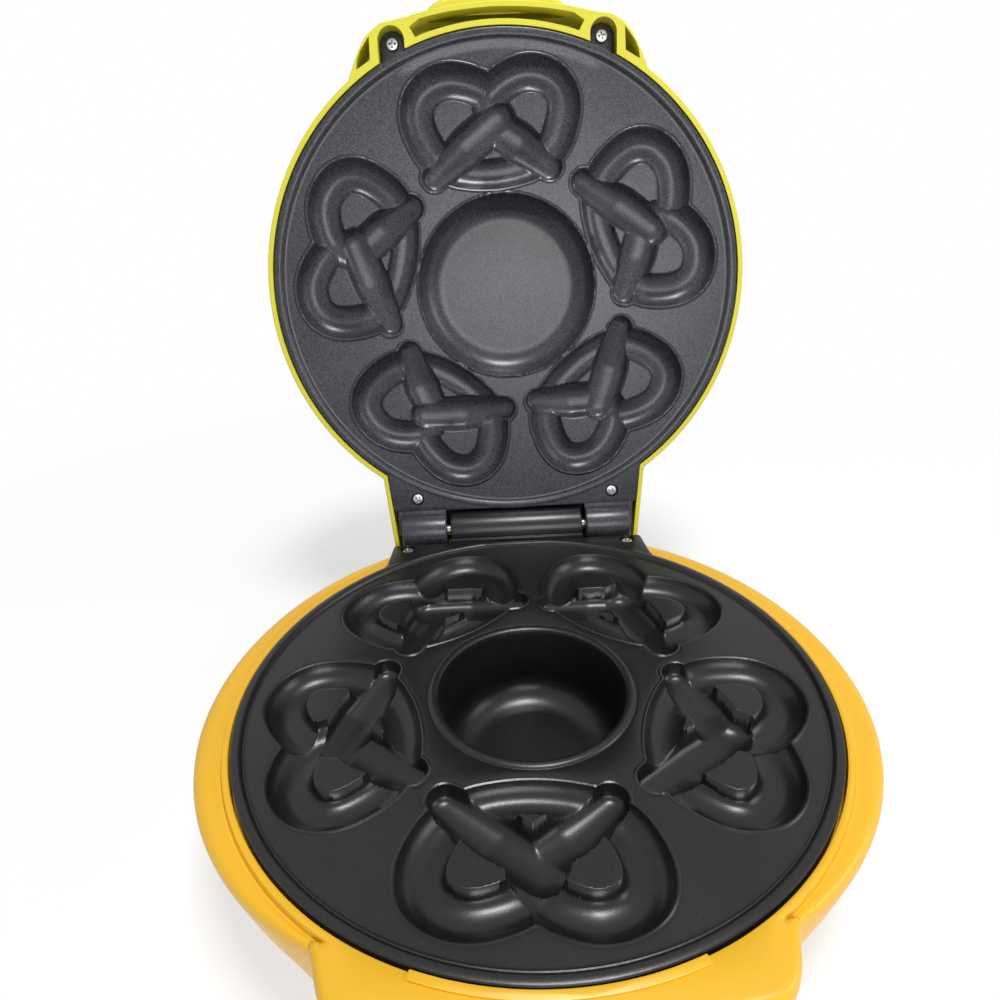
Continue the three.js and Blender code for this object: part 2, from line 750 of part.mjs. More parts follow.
function bottomCover() {
  const radius = baseFloorRadius - wall - fitGap;
  const disc = turned([
    [0, -baseDepth], [radius, -baseDepth], [radius, -baseDepth + coverThickness], [0, -baseDepth + coverThickness],
  ]);
  const cuts = postAngles.map((angle) => screwHole(
    postRing * Math.cos(angle), postRing * Math.sin(angle), -baseDepth - overrun, -baseDepth + overrun,
  ));
  for (let i = 0; i < ventCount; i += 1) {
    const x = (i - (ventCount - 1) / 2) * ventPitch;
    const [x0, x1] = [x - ventWidth / 2, x + ventWidth / 2];
    cuts.push(block(x0, x1, -ventLength / 2, ventLength / 2, -baseDepth - overrun, -baseDepth + overrun));
  }
  return cut(solid(disc), ...cuts);
}

// Lid housing, in its closed place above the parting plane
function lidOutside() {
  const rim = openingRadius + lidRimWidth;
  const shoulder = lidHeight - lidShoulderHeight;
  return [
    [0, 2 * partingGap],
    [rim, 2 * partingGap],
    [rim, ledgeTop],
    [lidShoulderRadius, lidShoulderHeight],
    ...arc(lidTopRadius, lidShoulderHeight, shoulder, Math.PI / 8, Math.PI / 2, 5)
      .map(([r, z]) => [lidTopRadius + ((r - lidTopRadius) * (lidShoulderRadius - lidTopRadius)) / shoulder, z]),
    [0, lidHeight],
  ];
}

function lidHollow() {
  const shoulder = lidHeight - lidShoulderHeight - wall;
  const reach = lidShoulderRadius - lidTopRadius - wall;
  return [
    [0, -overrun],
    [openingRadius, -overrun],
    [openingRadius, ledgeTop],
    [ledgeRadius, ledgeTop],
    [ledgeRadius, ledgeBack],
    [openingRadius - wall / 2, ledgeBack],
    [lidShoulderRadius - wall, lidShoulderHeight],
    ...arc(lidTopRadius, lidShoulderHeight, shoulder, Math.PI / 8, Math.PI / 2, 5)
      .map(([r, z]) => [lidTopRadius + ((r - lidTopRadius) * reach) / shoulder, z]),
    [0, lidHeight - wall],
  ];
}

// The lid's tail covers the hinge: a tapering plan with a rounded back edge
function lidTail(inset) {
  const round = lidTailRound - inset;
  const rear = lidTailY - inset;
  const top = lidTailHeight - inset;
  const low = inset > 0 ? -overrun : 2 * partingGap;
  const start = tongueFrontY / 2;
  const side = [
    [start, low],
    [rear, low],
    ...arc(rear - round, top - round, round, 0, Math.PI / 2, 4),
    [start, top],
  ];
  const frontHalf = lidTailFrontHalf - inset;
  const rearHalf = lidTailHalf - inset;
  const plan = [
    [-frontHalf, start], [frontHalf, start], [frontHalf, tongueFrontY],
    [rearHalf, rear], [-rearHalf, rear], [-frontHalf, tongueFrontY],
  ];
  const slab = new THREE.ExtrudeGeometry(
    new THREE.Shape(side.map(([y, z]) => new THREE.Vector2(y, z))),
    { depth: 2 * frontHalf, bevelEnabled: false },
  );
  slab.rotateX(Math.PI / 2).rotateZ(Math.PI / 2).translate(-frontHalf, 0, 0);
  return solid(slab).intersect(solid(prism(plan, low - overrun, top + overrun)));
}

function fingerPocket() {
  const inner = collarRadius - collarWidth + lidRimWidth;
  const frontRise = blockFrontY - blockFrontEdgeY;
  const bow = (blockFrontX ** 2 + frontRise ** 2) / (2 * frontRise);
  const archOuter = earRadius + fitGap + wall;
  const half = earX - archOuter;
  const innerEdge = Math.asin(half / inner);
  const outerEdge = Math.asin(half / (bow - wall));
  const down = -Math.PI / 2;
  return [
    ...arc(0, 0, inner, down - innerEdge, down + innerEdge, 16),
    ...arc(0, -blockFrontY + bow, bow - wall, down + outerEdge, down - outerEdge, 12),
  ].reverse();
}

function lidHousing() {
  const low = 2 * partingGap;
  const cosOpen = Math.cos(openAngle);
  const sinOpen = Math.sin(openAngle);
  const gripRise = gripReach - blockFrontEdgeY;
  const gripBow = (gripHalf ** 2 + gripRise ** 2) / (2 * gripRise);
  const gripEdge = Math.asin(gripHalf / gripBow);
  const down = -Math.PI / 2;
  const grip = arc(0, -gripReach + gripBow, gripBow, down - gripEdge, down + gripEdge, 14);
  let body = solid(turned(lidOutside()))
    .add(solid(blockBody([
      [low, 0],
      [lidBlockHeight - lidBlockRound, 0],
      [lidBlockHeight - lidBlockRound / 3, lidBlockRound / 4],
      [lidBlockHeight, lidBlockRound],
    ])))
    .add(lidTail(0))
    .add(solid(prism(grip, gripLow, gripHigh)));
  body = cut(body, turned(lidHollow())).subtract(lidTail(wall));
  body = cut(body, prism(grown(tonguePlan(upperTongueY + overrun), fitGap), -overrun, seatDepth));
  body = cut(body, prism(fingerPocket(), -overrun, pocketDepth));
  for (const side of [-1, 1]) {
    const x = side * upperTongueScrewX;
    body = body.add(solid(rod(bossRadius, seatDepth, lidTailHeight - wall / 2, x, upperTongueScrewY, 12)));
    body = cut(body, screwHole(x, upperTongueScrewY, 0, tongueSeatDepth + screwLength + wall));
  }
  const lugFar = lidTailY - hingeY;
  const lugLow = hingeZ + (rearWallY + fitGap - hingeY - lugFar * cosOpen) / sinOpen;
  for (const side of [-1, 1]) {
    const [x0, x1] = side > 0 ? [stopLugInner, stopLugOuter] : [-stopLugOuter, -stopLugInner];
    body = body.add(solid(block(x0, x1, lidTailY - wall, lidTailY, lugLow, lidTailHeight / 2)));
    const archInner = earRadius + fitGap;
    const arch = [
      ...arc(side * earX, -earY, archInner, Math.PI, 2 * Math.PI, 12),
      [side * earX + archInner, -earY + archInner * 3],
      [side * earX - archInner, -earY + archInner * 3],
    ];
    body = cut(body, prism(arch, -overrun, skirtEnd + earThickness + fitGap));
    body = cut(body, screwHole(side * earX, -earY, 0, skirtEnd + screwLength));
    const corner = openingRadius + lidRimWidth;
    const wedgeX = earX + archInner + wall;
    const wedge = [
      [side * wedgeX, -Math.sqrt(corner ** 2 - wedgeX ** 2)],
      [side * (blockCornerX - wall), -blockCornerY - wall * 2],
      [side * (blockSideX - wall * 1.2), -blockSideY],
      [side * wedgeX, -blockShoulderY + wall / 2],
    ];
    body = cut(body, prism(side > 0 ? wedge : wedge.reverse(), -overrun, pocketDepth));
  }
  for (const side of [-1, 1]) {
    const lampX = (side * lampSpacing) / 2;
    body = cut(body, rod(lampRadius + fitGap, lidHeight - wall - overrun, lidHeight + overrun, lampX, -lampY));
  }
  return body;
}

// Small pieces
function screw(headRadius = screwHeadRadius, length = screwLength) {
  return turned([
    [0, -length - screwShankRadius], [screwShankRadius, -length], [screwShankRadius, -screwHeadHeight],
    [headRadius, -screwHeadHeight], [headRadius, -screwHeadHeight / 2], [headRadius * 0.8, 0], [0, 0],
  ], 12);
}

function heatingElement(tailLength) {
  const lead = Math.asin(elementLead / elementRing);
  const ring = new THREE.CatmullRomCurve3(
    arc(0, 0, elementRing, Math.PI / 2 + lead, Math.PI * 2.5 - lead, 36)
      .map(([x, y]) => new THREE.Vector3(x, y, -elementLevel)),
  );
  const section = new THREE.Shape(
    arc(0, 0, elementRadius, 0, 2 * Math.PI, 7).slice(1).map(([x, y]) => new THREE.Vector2(x, y)),
  );
  const tube = new THREE.ExtrudeGeometry(section, { steps: 28, extrudePath: ring, bevelEnabled: false });
  const y = elementRing * Math.cos(lead);
  const tail = (x) => rod(elementRadius, -elementLevel - tailLength, -elementLevel + elementRadius * 0.9, x, y, 8);
  return join(tube, tail(-elementLead), tail(elementLead));
}

function heatShield(innerRadius) {
  const t = shieldThickness;
  const top = -webBack - fitGap;
  const pan = turned([
    [innerRadius, -shieldFloor], [shieldRadius, -shieldFloor], [shieldRadius, top],
    [shieldRadius - t, top], [shieldRadius - t, -shieldFloor + t], [innerRadius, -shieldFloor + t],
    [innerRadius, -shieldFloor],
  ], 32);
  const y = elementRing;
  const gap = elementRadius + t;
  const slot = (x) => rod(gap, -shieldFloor - overrun, -shieldFloor + overrun, x, y, 12);
  return cut(join(pan), slot(-elementLead), slot(elementLead));
}

// A hook of strip steel from the web between two moulds, under the heating tube
function elementClip() {
  const drop = elementLevel - webBack - fitGap;
  const inner = elementRadius + 1.5 * fitGap;
  const outer = inner + clipThickness;
  const flange = outer + clipFlange;
  const points = [
    [flange, 0], [inner, 0],
    ...arc(0, -drop, inner, 2 * Math.PI, Math.PI, 6),
    ...arc(0, -drop, outer, Math.PI, 2 * Math.PI, 6),
    [outer, -clipThickness], [flange, -clipThickness],
  ];
  const shape = new THREE.Shape(points.map(([x, z]) => new THREE.Vector2(x, z)));
  const geometry = new THREE.ExtrudeGeometry(shape, { depth: clipLength, bevelEnabled: false });
  return geometryOf(solid(geometry.translate(0, 0, -clipLength / 2).rotateX(Math.PI / 2)));
}

function thermostat() {
  const top = -webBack - fitGap;
  const ear = top - thermostatEarThickness;
  const halfWidth = thermostatEarWidth / 2;
  return join(
    turned([
      [0, ear - thermostatHeight - thermostatBaseHeight],
      [thermostatBaseRadius, ear - thermostatHeight - thermostatBaseHeight],
      [thermostatBaseRadius, ear - thermostatHeight],
      [thermostatRadius, ear - thermostatHeight],
      [thermostatRadius, top],
      [0, top],
    ], 16),
    block(-thermostatEarHalf, thermostatEarHalf, -halfWidth, halfWidth, ear, top),
  );
}

function thermalFuse() {
  const half = fuseLength / 2;
  return turned([
    [0, -half], [fuseRadius - fuseNeck, -half], [fuseRadius, -half + fuseNeck],
    [fuseRadius, half - fuseNeck], [fuseRadius - fuseNeck, half], [0, half],
  ], 12).rotateY(Math.PI / 2);
}

function terminalBlock() {
  const [w, d] = [terminalWidth / 2, terminalDepth / 2];
  const pitch = terminalWidth / terminalWells;
  const wells = [];
  for (let i = 0; i < terminalWells; i += 1) {
    const x = (i - (terminalWells - 1) / 2) * pitch;
    const half = terminalWellHalf;
    wells.push(block(x - half, x + half, -half, half, terminalHeight - terminalWellDepth, terminalHeight + overrun));
  }
  return geometryOf(cut(join(block(-w, w, -d, d, 0, terminalHeight)), ...wells));
}

function wire(points) {
  const path = new THREE.CatmullRomCurve3(points.map(([x, y, z]) => new THREE.Vector3(x, y, z)));
  const section = new THREE.Shape(
    arc(0, 0, wireRadius, 0, 2 * Math.PI, 6).slice(1).map(([x, y]) => new THREE.Vector2(x, y)),
  );
  return new THREE.ExtrudeGeometry(section, { steps: 8, extrudePath: path, bevelEnabled: false });
}

function lamp() {
  return turned([
    [0, -lampBodyLength], [lampRadius, -lampBodyLength], [lampRadius, fitGap],
    [lampFlange, fitGap], [lampFlange, lampFlangeHeight / 2], [lampRadius, lampFlangeHeight], [0, lampFlangeHeight],
  ], 16);
}

function cordGland() {
  const inside = rearWallY - wall - fitGap;
  const outside = rearWallY + fitGap;
  const body = join(
    rodAlongY(glandRadius, outside - glandLength, outside + glandFlangeLength, glandX, -glandDepth),
    rodAlongY(glandFlange, outside, outside + glandFlangeLength, glandX, -glandDepth),
    rodAlongY(glandFlange, inside - glandFlangeLength, inside, glandX, -glandDepth),
  );
  return cut(body, rodAlongY(glandBore, outside - glandLength - overrun, outside + overrun, glandX, -glandDepth));
}

// Places between two moulds, counted round from the front
function betweenMoulds(piece, number, ring, level) {
  const angle = -Math.PI / 2 + patternTurn + ((number + 0.5) * 2 * Math.PI) / mouldCount;
  piece.rotation.z = angle;
  piece.position.set(ring * Math.cos(angle), ring * Math.sin(angle), level);
  return piece;
}

// Assembly
const base = new THREE.Group();
const lid = new THREE.Group();
const sides = [['left', -1], ['right', 1]];
const clipPlaces = [0, 1, 3];

// Lower half: housing, cover, feet and fasteners
base.add(mesh('base_housing', geometryOf(baseHousing()), baseYellow));
base.add(mesh('base_bottom_cover', geometryOf(bottomCover()), blackPlastic));
base.add(mesh('cord_gland', geometryOf(cordGland()), blackPlastic));

const footProfile = [
  [0, -footHeight], [footRadius * 0.86, -footHeight], [footRadius, -footHeight * 0.8], [footRadius, 0], [0, 0],
];
for (const [end, angle, toRear] of [['front', footFrontTurn, -1], ['rear', footRearTurn, 1]]) {
  for (const [side, way] of sides) {
    const foot = mesh(`foot_${end}_${side}`, turned(footProfile, 16), greyRubber);
    foot.position.set(way * footRing * Math.cos(angle), toRear * footRing * Math.sin(angle), -baseDepth);
    base.add(foot);
  }
}

postAngles.forEach((angle, i) => {
  const coverScrew = mesh(`bottom_cover_screw_${i + 1}`, mirroredUp(geometryOf(solid(screw()))), brightSteel);
  const level = -baseDepth - fitGap - screwHeadHeight;
  coverScrew.position.set(postRing * Math.cos(angle), postRing * Math.sin(angle), level);
  base.add(coverScrew);
});

for (const [side, way] of sides) {
  const plateScrew = mesh(`lower_plate_screw_${side}`, screw(), brightSteel);
  plateScrew.position.set(way * lowerTongueScrewX, lowerTongueScrewY, -tongueSeatDepth);
  base.add(plateScrew);
}

// Lower half: plate, heat and wiring
base.add(mesh('lower_cooking_plate', geometryOf(lowerPlate()), nonStick));
base.add(mesh('lower_heating_element', geometryOf(heatingElement(lowerElementTail)), sheathMetal));
base.add(mesh('lower_heat_shield', geometryOf(heatShield(wellRadius + wellWall * 2)), sheetAluminium));
const pinEnd = upperCheekHalf - fitGap;
base.add(mesh('hinge_pin', rodAlongX(pinRadius, -pinEnd, pinEnd, hingeY, hingeZ, 16), brightSteel));

clipPlaces.forEach((place, i) => {
  const clip = mesh(`lower_element_clip_${i + 1}`, elementClip(), brightSteel);
  base.add(betweenMoulds(clip, place, elementRing, -webBack - fitGap));
});
const control = mesh('thermostat', geometryOf(thermostat()), blackPlastic);
base.add(betweenMoulds(control, 2, controlRing, 0));
const fuse = mesh('thermal_fuse', thermalFuse(), whitePlastic);
base.add(betweenMoulds(fuse, 4, controlRing, -webBack - fitGap - fuseRadius));

const terminals = mesh('terminal_block', terminalBlock(), whitePlastic);
terminals.position.set(0, terminalY, terminalFloor);
base.add(terminals);

const tailY = elementRing * Math.cos(Math.asin(elementLead / elementRing));
const lowerTailEnd = elementLevel + lowerElementTail;
const upperTailEnd = elementLevel + upperElementTail;
for (const [side, way] of sides) {
  const wellX = (way * terminalWidth) / terminalWells;
  const wellFloor = terminalFloor + terminalHeight - terminalWellDepth / 2;
  base.add(mesh(`lower_wire_${side}`, wire([
    [way * elementLead, tailY, -lowerTailEnd - fitGap],
    [way * elementLead, tailY, -lowerTailEnd - wireRadius],
    [wellX, terminalY, wellFloor + terminalWellDepth / 2],
    [wellX, terminalY, wellFloor],
  ]), wireCover));
}

// Upper half, in its closed place
const lidPart = (name, geometry, material) => lid.add(mesh(name, geometry, material));
lidPart('lid_housing', geometryOf(lidHousing()), lidYellow);
lidPart('upper_cooking_plate', mirroredUp(geometryOf(upperPlate())), nonStick);
lidPart('upper_heating_element', mirroredUp(geometryOf(heatingElement(upperElementTail))), sheathMetal);
lidPart('upper_heat_shield', mirroredUp(geometryOf(heatShield(recessRadius + wellWall * 2))), sheetAluminium);

clipPlaces.forEach((place, i) => {
  const clip = mesh(`upper_element_clip_${i + 1}`, mirroredUp(elementClip()), brightSteel);
  lid.add(betweenMoulds(clip, place, elementRing, webBack + fitGap));
});

for (const [side, way] of sides) {
  const rear = mesh(`upper_plate_screw_rear_${side}`, mirroredUp(geometryOf(solid(screw()))), brightSteel);
  rear.position.set(way * upperTongueScrewX, upperTongueScrewY, tongueSeatDepth);
  const front = mesh(`upper_plate_screw_front_${side}`, mirroredUp(geometryOf(solid(screw()))), brightSteel);
  front.position.set(way * earX, -earY, skirtEnd - earThickness / 3 - screwHeadHeight - fitGap);
  const lens = mesh(`indicator_lamp_${side}`, lamp(), way < 0 ? redLens : greenLens);
  lens.position.set((way * lampSpacing) / 2, -lampY, lidHeight);
  lid.add(rear, front, lens);
  const lampX = (way * lampSpacing) / 2;
  const shieldTop = shieldFloor + wireRadius + wireSlack / 3;
  lidPart(`upper_wire_${side}`, wire([
    [way * elementLead, tailY, upperTailEnd + 2 * fitGap],
    [way * elementLead, tailY, upperTailEnd + wireRadius],
    [way * elementLead, tailY - wireRadius * 2, upperTailEnd + wireRadius * 2],
    [way * elementLead, tailY - wireSlack, upperTailEnd + wireRadius],
    [way * elementLead * 2, tailY / 2, shieldTop],
    [way * elementLead * 2, 0, shieldTop],
    [way * elementLead, -lampY / 2, shieldTop],
    [lampX, -lampY, lidHeight - lampBodyLength - wireRadius * 2],
    [lampX, -lampY, lidHeight - lampBodyLength - fitGap],
  ]), wireCover);
}

// The lid is hung on the hinge axis and swung open
const lidHinge = new THREE.Group();
lidHinge.position.set(0, hingeY, hingeZ);
lidHinge.rotation.x = -openAngle;
lid.position.set(0, -hingeY, -hingeZ);
lidHinge.add(lid);

const machine = new THREE.Group();
machine.add(base, lidHinge);
machine.updateMatrixWorld(true);

// Origin: centre of the footprint of the open machine, on the surface it stands on
const extent = new THREE.Box3().setFromObject(machine, true);
const pretzelMaker = new THREE.Group();
machine.position.set(
  -(extent.min.x + extent.max.x) / 2,
  -(extent.min.y + extent.max.y) / 2,
  -extent.min.z,
);
pretzelMaker.add(machine);
pretzelMaker.updateMatrixWorld(true);

export default pretzelMaker;
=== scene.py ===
# %% [markdown]
# # Soft pretzel maker, lid open
# A table appliance in two hinged halves. Each half is a yellow plastic housing round a cast plate with
# five pretzel moulds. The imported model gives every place. What shows is modelled again here, finer than
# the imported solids, and everything rides on one of two bodies: base and lid.

# %% Load the frame
import json
import math
import bmesh
import bpy
import numpy as np
import mathutils.geometry
from mathutils import Matrix, Vector

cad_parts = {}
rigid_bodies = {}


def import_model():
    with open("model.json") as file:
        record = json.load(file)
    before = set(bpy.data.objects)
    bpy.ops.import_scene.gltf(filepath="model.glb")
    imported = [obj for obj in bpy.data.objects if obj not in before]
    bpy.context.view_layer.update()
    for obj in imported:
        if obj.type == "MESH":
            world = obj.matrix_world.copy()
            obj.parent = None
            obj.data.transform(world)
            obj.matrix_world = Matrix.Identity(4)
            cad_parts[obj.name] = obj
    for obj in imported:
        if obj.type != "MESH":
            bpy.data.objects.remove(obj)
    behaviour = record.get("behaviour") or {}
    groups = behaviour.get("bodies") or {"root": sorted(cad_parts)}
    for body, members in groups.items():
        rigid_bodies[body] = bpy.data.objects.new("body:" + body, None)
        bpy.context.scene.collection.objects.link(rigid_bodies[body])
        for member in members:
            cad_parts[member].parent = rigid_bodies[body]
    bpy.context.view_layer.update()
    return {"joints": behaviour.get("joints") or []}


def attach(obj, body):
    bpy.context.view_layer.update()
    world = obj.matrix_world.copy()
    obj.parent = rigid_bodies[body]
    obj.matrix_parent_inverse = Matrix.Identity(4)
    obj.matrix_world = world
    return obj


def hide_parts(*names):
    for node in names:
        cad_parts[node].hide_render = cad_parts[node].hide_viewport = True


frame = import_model()

# %% [markdown]
# ## Where the halves lie
# Both halves are easiest to draw closed, round the centre of the plates, with the parting plane at
# height zero. One matrix then sets the base on the floor, and the other swings the lid open about the
# hinge, which the frame gives.

# %% Places
MM = 0.001
TURN = 2 * math.pi
hinge_y = 128.8 * MM
hinge_z = 1 * MM
hinge_place = Vector((0, hinge_y, hinge_z))
open_angle = math.radians(102)
joint_place = Vector(frame["joints"][0]["pos_m"])
to_base = Matrix.Translation(joint_place - hinge_place)
to_lid = (Matrix.Translation(joint_place) @ Matrix.Rotation(-open_angle, 4, "X")
          @ Matrix.Translation(-hinge_place))
placing = {"base": to_base, "lid": to_lid}
print("plate centre of the base:", [round(v, 4) for v in to_base.translation])

# %% [markdown]
# ## Camera, floor and light
# The camera stands where the photographer's did: the place was worked out from the two plate circles and
# the hinge.

# %% Camera
camera_in_plate_frame = Vector((-12.13, -235.43, 208.67)) * MM
camera_down = 0.4819
camera_turn = 0.0104
camera_roll = -0.0417
camera_lens = 27.01
film_width = 36


def look(place, down, turn, roll, lens):
    """A camera that looks down from the level and sideways from +Y by these angles, then rolls."""
    ahead = Vector((math.sin(turn) * math.cos(down), math.cos(turn) * math.cos(down), -math.sin(down)))
    side = Vector((math.cos(turn), -math.sin(turn), 0))
    up = side.cross(ahead)
    side_rolled = side * math.cos(roll) + up * math.sin(roll)
    up_rolled = up * math.cos(roll) - side * math.sin(roll)
    camera = bpy.data.objects.new("camera", bpy.data.cameras.new("camera"))
    camera.data.lens = lens
    camera.data.sensor_width = film_width
    camera.data.clip_start = 0.01
    turned = Matrix((side_rolled, up_rolled, -ahead)).transposed().to_4x4()
    camera.matrix_world = Matrix.Translation(place) @ turned
    bpy.context.scene.collection.objects.link(camera)
    bpy.context.scene.camera = camera
    return camera


camera = look(to_base @ camera_in_plate_frame, camera_down, camera_turn, camera_roll, camera_lens)
print("camera at", [round(v, 3) for v in camera.matrix_world.translation])

# %% [markdown]
# ### The floor
# A pale floor carries the soft shadow and turns pure white further off. Its own glow is only seen, by the
# camera, in reflections and through clear pieces. It doesn't light the object.

# %% Floor
def nodes_of(owner):
    """The emptied node tree of a material or a world."""
    owner.use_nodes = True
    owner.node_tree.nodes.clear()
    return owner.node_tree


def feed(tree, node, inputs):
    """Sets a node's inputs to values, or links them to what other nodes give out."""
    for name, value in inputs.items():
        if isinstance(value, bpy.types.Node):
            value = value.outputs[0]
        if isinstance(value, bpy.types.NodeSocket):
            tree.links.new(value, node.inputs[name])
        else:
            node.inputs[name].default_value = value


def add(tree, kind, inputs=None, **settings):
    """A new node with these settings and inputs."""
    node = tree.nodes.new(kind)
    for name, value in settings.items():
        setattr(node, name, value)
    feed(tree, node, inputs or {})
    return node


def seen_rays(tree):
    """One for the rays of the camera, of reflections and of light through clear pieces, else nothing."""
    rays = add(tree, "ShaderNodeLightPath").outputs
    both = add(tree, "ShaderNodeMath", {0: rays["Is Camera Ray"], 1: rays["Is Glossy Ray"]},
               operation="ADD")
    return add(tree, "ShaderNodeMath", {0: both, 1: rays["Is Transmission Ray"]}, operation="ADD",
               use_clamp=True)


floor_size = 12
floor_white = 0.92
floor_glow = 0.66
shadow_reach = 0.22
white_from = 0.62


def floor_paper():
    """White paper that glows by itself a little, and fully from some way off the object."""
    material = bpy.data.materials.new("floor_paper")
    tree = nodes_of(material)
    paper = add(tree, "ShaderNodeBsdfDiffuse", {"Color": (floor_white, floor_white, floor_white, 1)})
    glow = add(tree, "ShaderNodeEmission", {"Color": (1, 1, 1, 1)})
    place = add(tree, "ShaderNodeTexCoord").outputs["Object"]
    far = add(tree, "ShaderNodeVectorMath", {0: place}, operation="LENGTH").outputs["Value"]
    fade = add(tree, "ShaderNodeMapRange", {"Value": far, "From Min": shadow_reach, "From Max": white_from,
                                            "To Min": floor_glow, "To Max": 1.0})
    share = add(tree, "ShaderNodeMath", {0: seen_rays(tree), 1: fade}, operation="MULTIPLY")
    mix = add(tree, "ShaderNodeMixShader", {0: share, 1: paper, 2: glow})
    add(tree, "ShaderNodeOutputMaterial", {"Surface": mix})
    return material


floor_mesh = bpy.data.meshes.new("floor")
floor_shape = bmesh.new()
bmesh.ops.create_grid(floor_shape, x_segments=1, y_segments=1, size=floor_size / 2)
floor_shape.to_mesh(floor_mesh)
floor_shape.free()
floor = bpy.data.objects.new("floor", floor_mesh)
bpy.context.scene.collection.objects.link(floor)
floor_mesh.materials.append(floor_paper())
print("floor glow share:", floor_glow)

# %% [markdown]
# ### Lamps and world
# The strongest lamp hangs overhead and gives the highlights on the upward sides of the moulds, as in the
# photograph. A lamp in front lights the lid and a weaker one stands at the right. The world looks white,
# but as a light it is a dim fill.

# %% Lamps and world
fill_color = (0.80, 0.86, 0.95, 1)
fill_strength = 0.18


def softbox(name, place, target, width, height, power):
    lamp = bpy.data.lights.new(name, "AREA")
    lamp.shape = "RECTANGLE"
    lamp.size = width
    lamp.size_y = height
    lamp.energy = power
    lamp_object = bpy.data.objects.new(name, lamp)
    lamp_object.location = place
    lamp_object.rotation_euler = (Vector(target) - Vector(place)).to_track_quat("-Z", "Y").to_euler()
    bpy.context.scene.collection.objects.link(lamp_object)


softbox("overhead_softbox", (0.16, -0.24, 1.6), (0, -0.02, 0.05), 0.44, 0.30, 22)
softbox("front_softbox", (0.14, -1.4, 0.56), (0, 0.1, 0.2), 0.7, 0.5, 8.5)
softbox("side_softbox", (1.45, -0.35, 0.8), (0, 0, 0.1), 0.7, 0.7, 7)
world = bpy.data.worlds.new("studio")
bpy.context.scene.world = world
tree = nodes_of(world)
fill = add(tree, "ShaderNodeBackground", {"Color": fill_color, "Strength": fill_strength})
white = add(tree, "ShaderNodeBackground", {"Color": (1, 1, 1, 1)})
mix = add(tree, "ShaderNodeMixShader", {0: seen_rays(tree), 1: fill, 2: white})
add(tree, "ShaderNodeOutputWorld", {"Surface": mix})
bpy.context.scene.view_settings.view_transform = "Standard"

# %% [markdown]
# ## Finishes
# Every finish is worked out by nodes from Object coordinates, so it sits still on its piece. The coat of
# the plates is a charcoal paint with a fine light grain and a fine bump. The plastics are injection
# moulded: even colour, a very fine orange peel, and a little drift in their gloss.

# %% Node helpers
def finish_tree(name):
    material = bpy.data.materials.new(name)
    tree = nodes_of(material)
    shader = add(tree, "ShaderNodeBsdfPrincipled")
    add(tree, "ShaderNodeOutputMaterial", {"Surface": shader})
    place = add(tree, "ShaderNodeTexCoord")
    return material, tree, shader, place.outputs["Object"]


def noise(tree, place, scale, detail=2.0, rough=0.5):
    return add(tree, "ShaderNodeTexNoise", {"Vector": place, "Scale": scale, "Detail": detail,
                                            "Roughness": rough}).outputs[0]


def ramp(tree, value, stops):
    node = add(tree, "ShaderNodeValToRGB", {0: value})
    band = node.color_ramp
    while len(band.elements) < len(stops):
        band.elements.new(0.5)
    for element, (at, color) in zip(band.elements, stops):
        element.position = at
        element.color = (*color, 1)
    return node.outputs[0]


def spread(tree, value, low, high):
    return add(tree, "ShaderNodeMapRange", {"Value": value, "To Min": low, "To Max": high}).outputs[0]


def blended(tree, share, first, second, how="MIX"):
    return add(tree, "ShaderNodeMix", {"Factor": share, 6: first, 7: second}, data_type="RGBA",
               blend_type=how).outputs[2]


def bump(tree, height, strength, distance):
    return add(tree, "ShaderNodeBump", {"Height": height, "Strength": strength, "Distance": distance})


print("node helpers ready")

# %% [markdown]
# ### Nonstick coat
# The real coat is sprayed and baked: almost black, with light flecks about half a millimetre apart, and a
# semi-matt sheen. A fine dark line of painted shade runs where each rim meets the flat, for the shade in
# the groove at the lip's foot. The moulds pass that painted shade on as an attribute of the mesh, and the
# coat darkens there.

# %% Nonstick coat
coat_index = 1.40
coat_gloss = (0.25, 0.34)
grain_scale = 1500
cloud_scale = 38
pebble_scale = 1250
# colour of the painted shade in the grooves and at the inner foot of the ring
crease_shade_color = (0.004, 0.004, 0.004, 1)


def nonstick_coat(name, dark, light):
    material, tree, shader, place = finish_tree(name)
    grain = noise(tree, place, grain_scale, 2.0, 0.6)
    fleck = ramp(tree, grain, [(0.38, dark), (0.62, light)])
    cloud = noise(tree, place, cloud_scale, 3.0, 0.55)
    patchy = ramp(tree, cloud, [(0.35, (0.78, 0.78, 0.80)), (0.68, (1.0, 1.0, 1.0))])
    color = blended(tree, 1.0, fleck, patchy, "MULTIPLY")
    # the painted shade of the grooves, read from the mesh, darkens the coat
    seam = add(tree, "ShaderNodeAttribute", attribute_name="seam")
    darker = blended(tree, seam.outputs["Fac"], color, crease_shade_color)
    pebbles = noise(tree, place, pebble_scale, 2.0, 0.7)
    feed(tree, shader, {"Base Color": darker, "IOR": coat_index,
                        "Roughness": spread(tree, cloud, *coat_gloss),
                        "Normal": bump(tree, pebbles, 0.28, 0.12 * MM)})
    return material


# Both plates wear the same coat. The two copies differ only by painted light: the upper one is painted
# lighter, for the front light that falls on the lid's face.
coat_lower = nonstick_coat("nonstick_coat_lower", (0.004, 0.004, 0.0045), (0.010, 0.010, 0.0112))
lit_coat_upper = nonstick_coat("nonstick_coat_upper", (0.010, 0.0105, 0.0125), (0.062, 0.066, 0.077))
print("coats:", coat_lower.name, lit_coat_upper.name)

# %% [markdown]
# ### Yellow plastics
# The base is a warm yellow and the lid a greener one. Both are coloured through, so only the gloss and a
# faint cloud in the colour vary.

